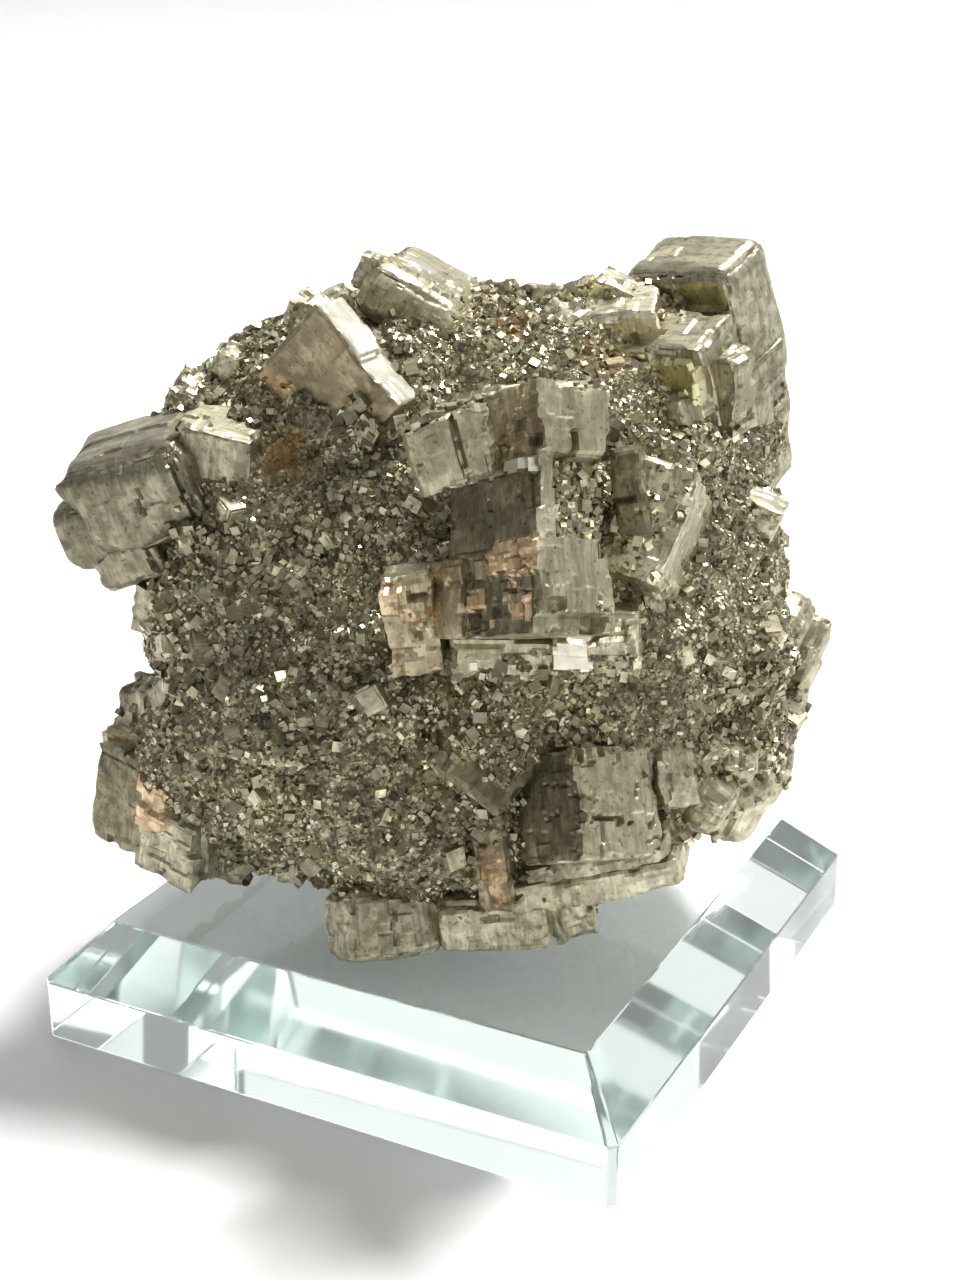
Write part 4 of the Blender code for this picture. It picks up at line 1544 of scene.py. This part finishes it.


# Iron-stained places, and places near the top where the crust loses its tarnish and turns lighter,
# a painted highlight where the light falls from above: the middle of each and its reach, in mm.
RUST_SPOTS = (
    ((-12.5, -30.5, 98.5), 6.0),
    ((9.0, 1.5, 114.0), 5.0),
    ((24.5, 1.0, 111.5), 5.0),
)
TOP_HIGHLIGHT_SPOTS = (
    ((19.0, 7.0, 114.0), 24.0),
    ((31.0, 5.0, 106.5), 18.0),
)
# How much of the tarnish a painted-highlight place loses, and the part of a spot's reach that is
# full.
HIGHLIGHT_UNTARNISHED = 0.95
SPOT_CORE = 0.25


def nearness(
    graph: Graph, place: Socket, spots: tuple[tuple[Triple, float], ...]
) -> Socket:
    """Return a mask of the places near spots.

    Args:
        graph: Where the nodes go.
        place: The shaded place, in metres.
        spots: The middle of each spot and its reach, in mm.

    Returns:
        A socket that gives 1 at a spot's middle and 0 beyond its reach.
    """
    mask = None
    for middle, reach in spots:
        middle = tuple(part * MM for part in middle)
        away = graph.vector("DISTANCE", place, middle).outputs["Value"]
        near = graph.ramp(away, reach * MM, reach * SPOT_CORE * MM)
        mask = near if mask is None else graph.math("MAXIMUM", mask, near)
    return mask


# Tarnish: the scales of its broad and small patches, of its grain and of the rust, and each
# kind of patch's part of it.
BROAD_SCALE = 60.0
PATCH_SCALE = 520.0
GRAIN_SCALE = 1300.0
RUST_SCALE = 260.0
BROAD_SHARE = 0.45
PATCH_SHARE = 0.55


def tarnish_group() -> bpy.types.NodeTree:
    """Build the group that spreads tarnish and rust.

    Returns:
        A group that gives the tarnish's share, a fine grain and a rust mask.
    """
    tree, graph = new_group(
        "tarnish",
        {"Spread": "NodeSocketFloat", "Rust": "NodeSocketFloat"},
        {"Share": "NodeSocketFloat", "Grain": "NodeSocketFloat", "Rust": "NodeSocketFloat"},
    )
    given = tree.nodes.new("NodeGroupInput")
    result = tree.nodes.new("NodeGroupOutput")
    place = graph.node("TexCoord").outputs["Object"]
    broad = graph.ramp(graph.noise(place, BROAD_SCALE, 1.0), 0.36, 0.64)
    patches = graph.ramp(graph.noise(place, PATCH_SCALE, 4.0), 0.4, 0.62)
    grain = graph.noise(place, GRAIN_SCALE, 3.0)
    broad = graph.math("MULTIPLY", broad, BROAD_SHARE)
    patches = graph.math("MULTIPLY", patches, PATCH_SHARE)
    spread = graph.math("MULTIPLY", given.outputs["Spread"], 2.0)
    share = graph.math("MULTIPLY", graph.math("ADD", broad, patches), spread)
    stain = nearness(graph, place, RUST_SPOTS)
    # Near the top spots the tarnish is thinned: a painted highlight that lightens the crust.
    top_highlight = graph.math("MULTIPLY", nearness(graph, place, TOP_HIGHLIGHT_SPOTS), HIGHLIGHT_UNTARNISHED)
    share = graph.math("MULTIPLY", share, graph.math("SUBTRACT", 1.0, top_highlight))
    patchy = graph.ramp(graph.noise(place, RUST_SCALE, 2.0), 0.36, 0.52)
    rust = graph.math("MULTIPLY", graph.math("MULTIPLY", stain, patchy), given.outputs["Rust"])
    graph.tree.links.new(share, result.inputs["Share"])
    graph.tree.links.new(grain, result.inputs["Grain"])
    graph.tree.links.new(rust, result.inputs["Rust"])
    return tree


@dataclass(frozen=True)
class PyriteFinish:
    """Tarnished pyrite: two metal colours, a duller tarnish, and how rough and lined it is."""

    name: str
    bright: Triple
    deep: Triple
    tarnish: Triple
    rust: Triple = (0.24, 0.14, 0.035)
    streak_share: float = 0.5
    pit_share: float = 0.6
    spread: float = 0.5
    rough: Span = (0.3, 0.5)
    fine: float = 2.2
    coarse: float = 0.6
    line_depth: float = 0.00012
    line_strength: float = 0.5
    grain_strength: float = 0.25
    metallic: float = 0.92
    rust_metallic: float = 0.15
    facet: float = 0.0
    facet_depth: float = 0.0
    lit_streaks: Span = (0.5, 0.6)
    dull_streaks: Span = (0.5, 0.4)
    pitted: Span = (0.6, 0.68)
    pit_shade: float = 0.45

    def material(self, groups: dict[str, bpy.types.NodeTree]) -> bpy.types.Material:
        """Make the finish's material.

        Args:
            groups: The node groups: lines, tarnish and facets.

        Returns:
            The material.
        """
        made, graph, shader = new_material(self.name)
        grown = graph.node("Group", node_tree=groups["lines"])
        grown.inputs["Fine"].default_value = self.fine
        grown.inputs["Coarse"].default_value = self.coarse
        dull = graph.node("Group", node_tree=groups["tarnish"])
        dull.inputs["Spread"].default_value = self.spread
        dull.inputs["Rust"].default_value = 1.0
        number, streaks = grown.outputs["Number"], grown.outputs["Streaks"]
        normal = None
        if self.facet:
            facets = graph.node("Group", node_tree=groups["facets"])
            facets.inputs["Scale"].default_value = 1 / (self.facet * MM)
            number = facets.outputs["Number"]
            normal = graph.node("Bump", {
                "Height": facets.outputs["Height"], "Strength": 1.0,
                "Distance": self.facet_depth * MM,
            }).outputs[0]
        metal = graph.mix(number, (*self.deep, 1), (*self.bright, 1))
        if self.streak_share:
            for band, tint in (
                (self.lit_streaks, self.bright),
                (self.dull_streaks, self.tarnish),
            ):
                streak = graph.math("MULTIPLY", graph.ramp(streaks, *band), self.streak_share)
                metal = graph.mix(streak, metal, (*tint, 1))
        colour = graph.mix(dull.outputs["Share"], metal, (*self.tarnish, 1))
        pits = graph.ramp(dull.outputs["Grain"], *self.pitted)
        pits = graph.math("MULTIPLY", pits, self.pit_share)
        pit_colour = tuple(self.pit_shade * part for part in self.tarnish)
        colour = graph.mix(pits, colour, (*pit_colour, 1))
        colour = graph.mix(dull.outputs["Rust"], colour, (*self.rust, 1))
        graph.tree.links.new(colour, shader.inputs["Base Color"])
        dullness = graph.math("MAXIMUM", dull.outputs["Share"], dull.outputs["Rust"])
        for name, share, ends in (
            ("Roughness", dullness, self.rough),
            ("Metallic", dull.outputs["Rust"], (self.metallic, self.rust_metallic)),
        ):
            spread = graph.node("MapRange", {0: share, 1: 0.0, 2: 1.0, 3: ends[0], 4: ends[1]})
            graph.tree.links.new(spread.outputs[0], shader.inputs[name])
        if self.line_strength:
            grain = graph.math("MULTIPLY", dull.outputs["Grain"], self.grain_strength)
            normal = graph.node("Bump", {
                "Height": graph.math("ADD", grown.outputs["Height"], grain),
                "Strength": self.line_strength, "Distance": self.line_depth,
            }).outputs[0]
        if normal is not None:
            graph.tree.links.new(normal, shader.inputs["Normal"])
        return made


# The crystals' finishes, in the order of Tone's numbers.
CRYSTAL_FINISHES = (
    PyriteFinish(
        "pyrite_faces", (0.84, 0.79, 0.59), (0.55, 0.51, 0.365), (0.28, 0.252, 0.165),
        line_strength=0.8, rough=(0.34, 0.6), spread=0.42, grain_strength=0.8,
    ),
    PyriteFinish(
        "pyrite_copper", (0.88, 0.70, 0.45), (0.66, 0.50, 0.31), (0.42, 0.30, 0.18),
        rough=(0.35, 0.55), grain_strength=1.0,
    ),
    # The olive finish is made brighter as painted light, so its recessed faces look lit.
    PyriteFinish(
        "pyrite_olive_painted_light", (0.84, 0.79, 0.44), (0.60, 0.56, 0.31), (0.34, 0.31, 0.17),
        rough=(0.35, 0.5), grain_strength=1.0,
    ),
    # Painted shade: the dark finish for recessed faces and faces turned away from the light.
    PyriteFinish(
        "pyrite_dark_painted_shade", (0.36, 0.325, 0.21), (0.23, 0.205, 0.13), (0.11, 0.098, 0.06),
        rough=(0.35, 0.55), grain_strength=1.0,
    ),
    # Painted highlight: a lighter, cleaner finish for the strips and spots where the lamps glint.
    PyriteFinish(
        "pyrite_bright_painted_highlight", (0.97, 0.95, 0.84), (0.86, 0.83, 0.70), (0.62, 0.59, 0.45),
        line_strength=0.4, spread=0.25, grain_strength=1.0, streak_share=0.3, pit_share=0.3,
    ),
    PyriteFinish(
        "pyrite_brown", (0.62, 0.54, 0.365), (0.44, 0.37, 0.245), (0.27, 0.22, 0.14),
        rough=(0.4, 0.6), grain_strength=1.2,
    ),
    PyriteFinish(
        "pyrite_dull", (0.64, 0.60, 0.44), (0.40, 0.374, 0.272), (0.18, 0.165, 0.108),
        line_strength=0.7, rough=(0.36, 0.6), spread=0.45, grain_strength=0.9,
    ),
)
DRUSE_FINISH = PyriteFinish(
    "pyrite_druse", (0.90, 0.84, 0.60), (0.26, 0.236, 0.154), (0.15, 0.133, 0.083),
    rough=(0.22, 0.5), spread=0.4, line_strength=0.0, streak_share=0.0, pit_share=0.3,
)
MATRIX_FINISH = PyriteFinish(
    "pyrite_matrix", (0.62, 0.57, 0.40), (0.18, 0.16, 0.10), (0.12, 0.106, 0.065),
    rough=(0.25, 0.5), spread=0.4, facet=0.62, facet_depth=0.42, line_strength=0.0,
    streak_share=0.0, pit_share=0.3,
)


@dataclass
class DisplayBase:
    """The clear base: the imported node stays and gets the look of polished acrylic."""

    tint: Triple = (0.95, 0.985, 0.98)
    ior: float = 1.49
    roughness: float = 0.04
    absorbed: Triple = (0.80, 0.97, 0.92)
    density: float = 3.5

    def dress(self, node: bpy.types.Object) -> None:
        """Give the node its clear material.

        Args:
            node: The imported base.
        """
        made, graph, shader = new_material(Slot.CLEAR.value)
        shader.inputs["Base Color"].default_value = (*self.tint, 1)
        shader.inputs["Roughness"].default_value = self.roughness
        shader.inputs["IOR"].default_value = self.ior
        shader.inputs["Transmission Weight"].default_value = 1.0
        volume = graph.node(
            "VolumeAbsorption", {"Color": (*self.absorbed, 1), "Density": self.density}
        )
        output = made.node_tree.nodes["Material Output"]
        graph.tree.links.new(volume.outputs[0], output.inputs["Volume"])
        for index in range(len(node.material_slots)):
            node.material_slots[index].material = made
        node.visible_shadow = False
        LOG.info("%s: dressed", node.name)


@dataclass(frozen=True)
class SoftBox:
    """A studio light: the way to it from the object, how far off, how wide and how strong."""

    name: str
    way: Triple
    distance: float
    width: float
    power: float
    colour: Triple = (1.0, 1.0, 1.0)


@dataclass
class Studio:
    """The floor, the sweep behind the object, the lights, the surroundings and the camera."""

    target: Triple = (0.0, 0.0, 0.065)
    lights: tuple[SoftBox, ...] = (
        SoftBox("main", (0.10, 0.33, 0.94), 2.5, 0.45, 78.0, (1.0, 0.99, 0.97)),
        SoftBox("right", (0.80, 0.15, 0.58), 2.5, 0.8, 4.0, (1.0, 0.99, 0.97)),
        SoftBox("glint", (0.45, 0.69, 0.57), 2.5, 0.2, 3.0),
        SoftBox("near_tube", (0.499, 0.823, 0.272), 2.5, 0.09, 1.4),
        SoftBox("far_tube", (0.512, 0.811, 0.281), 2.5, 0.07, 0.8),
        SoftBox("left_card", (-0.62, 0.62, 0.48), 2.5, 2.2, 9.0),
        SoftBox("left_spark", (-0.62, -0.42, 0.66), 2.5, 0.1, 1.5),
        SoftBox("front_spark", (0.1, -0.78, 0.62), 2.5, 0.1, 1.2),
        SoftBox("right_spark", (0.85, -0.35, 0.4), 2.5, 0.1, 1.2),
    )
    world_colour: Triple = (1.0, 0.985, 0.96)
    world_dark: float = 0.2
    world_bright: float = 0.42
    world_way: Triple = (0.50, 0.18, 0.85)
    world_range: Span = (-0.3, 1.0)
    eye: Triple = (0.14477, -0.27267, 0.18368)
    heading: float = 27.410
    dive: float = 21.712
    roll: float = -0.291
    lens: float = 57.25
    bounces: int = 24
    sensor: float = 36.0
    nearest: float = 0.01
    floor_reach: float = 1.6
    floor_drop: float = 0.0002
    sweep_start: float = 0.58
    sweep_rise: float = 0.3
    sweep_radius: float = 0.15
    sweep_steps: int = 16
    paper_dark: Triple = (0.84, 0.84, 0.85)
    paper_light: Triple = (0.9, 0.9, 0.9)
    paper_scale: float = 9.0
    paper_rough: float = 0.55

    def build(self) -> None:
        """Build everything round the object."""
        self.floor()
        for box in self.lights:
            self.light(box)
        self.surroundings()
        self.camera()
        scene = bpy.context.scene
        scene.view_settings.view_transform = "Standard"
        scene.cycles.max_bounces = self.bounces
        scene.cycles.glossy_bounces = self.bounces
        scene.cycles.transmission_bounces = self.bounces

    def floor(self) -> None:
        """Build the pale floor, which sweeps up behind the object."""
        radius = self.sweep_radius
        profile = [(-self.floor_reach, 0.0), (self.sweep_start, 0.0)]
        for step in range(1, self.sweep_steps + 1):
            turn = math.pi / 2 * step / self.sweep_steps
            profile.append((
                self.sweep_start + radius * math.sin(turn), radius * (1 - math.cos(turn))
            ))
        profile.append((self.sweep_start + radius, self.sweep_rise))
        heading = Matrix.Rotation(math.radians(self.heading), 3, "Z")
        verts, faces = [], []
        for y, z in profile:
            for x in (-self.floor_reach, self.floor_reach):
                verts.append(heading @ Vector((x, y, z - self.floor_drop)))
        for row in range(len(profile) - 1):
            faces.append((2 * row, 2 * row + 1, 2 * row + 3, 2 * row + 2))
        mesh = bpy.data.meshes.new("floor")
        mesh.from_pydata(verts, [], faces)
        mesh.polygons.foreach_set("use_smooth", [True] * len(faces))
        mesh.materials.append(self.paper())
        obj = bpy.data.objects.new("floor", mesh)
        bpy.context.scene.collection.objects.link(obj)
        obj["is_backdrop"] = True

    def paper(self) -> bpy.types.Material:
        """Make the floor's paper, a little uneven in its tone.

        Returns:
            The material.
        """
        made, graph, shader = new_material("pale_paper")
        tone = graph.noise(graph.node("TexCoord").outputs["Object"], self.paper_scale, 3.0)
        colour = graph.mix(tone, (*self.paper_dark, 1), (*self.paper_light, 1))
        graph.tree.links.new(colour, shader.inputs["Base Color"])
        shader.inputs["Roughness"].default_value = self.paper_rough
        return made

    def light(self, box: SoftBox) -> None:
        """Build one soft light that looks at the object.

        Args:
            box: The light.
        """
        data = bpy.data.lights.new(box.name, "AREA")
        data.shape = "DISK"
        data.size = box.width
        data.energy = box.power
        data.color = box.colour
        obj = bpy.data.objects.new(box.name, data)
        way = Vector(box.way).normalized()
        obj.location = Vector(self.target) + way * box.distance
        obj.rotation_mode = "QUATERNION"
        obj.rotation_quaternion = (-way).to_track_quat("-Z", "Y")
        obj.visible_camera = False
        bpy.context.scene.collection.objects.link(obj)

    def surroundings(self) -> None:
        """Set the soft light that comes from all round."""
        world = bpy.data.worlds.new("room")
        world.use_nodes = True
        graph = Graph(world.node_tree)
        back = world.node_tree.nodes["Background"]
        back.inputs["Color"].default_value = (*self.world_colour, 1)
        way = Vector(self.world_way).normalized()
        place = graph.node("TexCoord").outputs["Generated"]
        facing = graph.vector("DOT_PRODUCT", place, tuple(way)).outputs["Value"]
        strength = graph.node(
            "MapRange",
            {
                0: facing, 1: self.world_range[0], 2: self.world_range[1],
                3: self.world_dark, 4: self.world_bright,
            },
            interpolation_type="SMOOTHSTEP",
        ).outputs[0]
        graph.tree.links.new(strength, back.inputs["Strength"])
        bpy.context.scene.world = world

    def camera(self) -> None:
        """Place the camera."""
        data = bpy.data.cameras.new("camera")
        data.lens = self.lens
        data.sensor_width = self.sensor
        data.clip_start = self.nearest
        obj = bpy.data.objects.new("camera", data)
        obj.location = self.eye
        turn = Matrix.Rotation(math.radians(self.heading), 3, "Z")
        turn = turn @ Matrix.Rotation(math.radians(90 - self.dive), 3, "X")
        turn = turn @ Matrix.Rotation(math.radians(self.roll), 3, "Z")
        obj.rotation_mode = "QUATERNION"
        obj.rotation_quaternion = turn.to_quaternion()
        bpy.context.scene.collection.objects.link(obj)
        bpy.context.scene.camera = obj


@dataclass
class Cluster:
    """The whole crystal cluster."""

    fine: Grower = field(default_factory=Grower)
    medium: Grower = field(default_factory=lambda: Grower(pitch=0.6, notches=3))
    matrix: Bedrock = field(default_factory=Bedrock)
    druse: Druse = field(default_factory=Druse)
    seed: int = 19

    def build(self) -> bpy.types.Object:
        """Build every piece of the cluster.

        Returns:
            The matrix, which carries the rest.
        """
        groups = {
            "lines": growth_line_group(), "tarnish": tarnish_group(), "facets": facet_group(),
        }
        tones = [finish.material(groups) for finish in CRYSTAL_FINISHES]
        crust, rock = DRUSE_FINISH.material(groups), MATRIX_FINISH.material(groups)
        surface = self.matrix.surface()
        matrix = self.matrix.build(surface, rock)
        rng = np.random.default_rng(self.seed)
        carriers = [matrix]
        for crystal in MAIN_CRYSTALS:
            stock = MeshStock()
            self.fine.grow(stock, crystal, rng)
            carriers.append(stock.piece(crystal.name, tones, SHARP_EDGE))
        for name, crystals in (
            ("front_side_crystals", SIDE_CRYSTALS),
            ("back_crystals", BACK_CRYSTALS),
        ):
            stock = MeshStock()
            for crystal in crystals:
                self.medium.grow(stock, crystal, rng)
            carriers.append(stock.piece(name, tones, SHARP_EDGE))
        carriers.append(self.druse.small_crystals(surface, tones[Tone.GREY.value]))
        self.druse.crust(surface, crust, carriers)
        return matrix


def corners() -> list[list[float]]:
    """Return the shown object's lowest and highest corners as plain lists."""
    return [list(corner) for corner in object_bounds()]


def main() -> None:
    """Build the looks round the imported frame."""
    logging.basicConfig(level=logging.INFO, format="%(name)s: %(message)s")
    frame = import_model()
    Studio().build()
    DisplayBase().dress(frame["nodes"][Node.BASE.value])
    piece = Cluster().build()
    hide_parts(Node.CLUSTER.value)


if __name__ == "__main__":
    main()
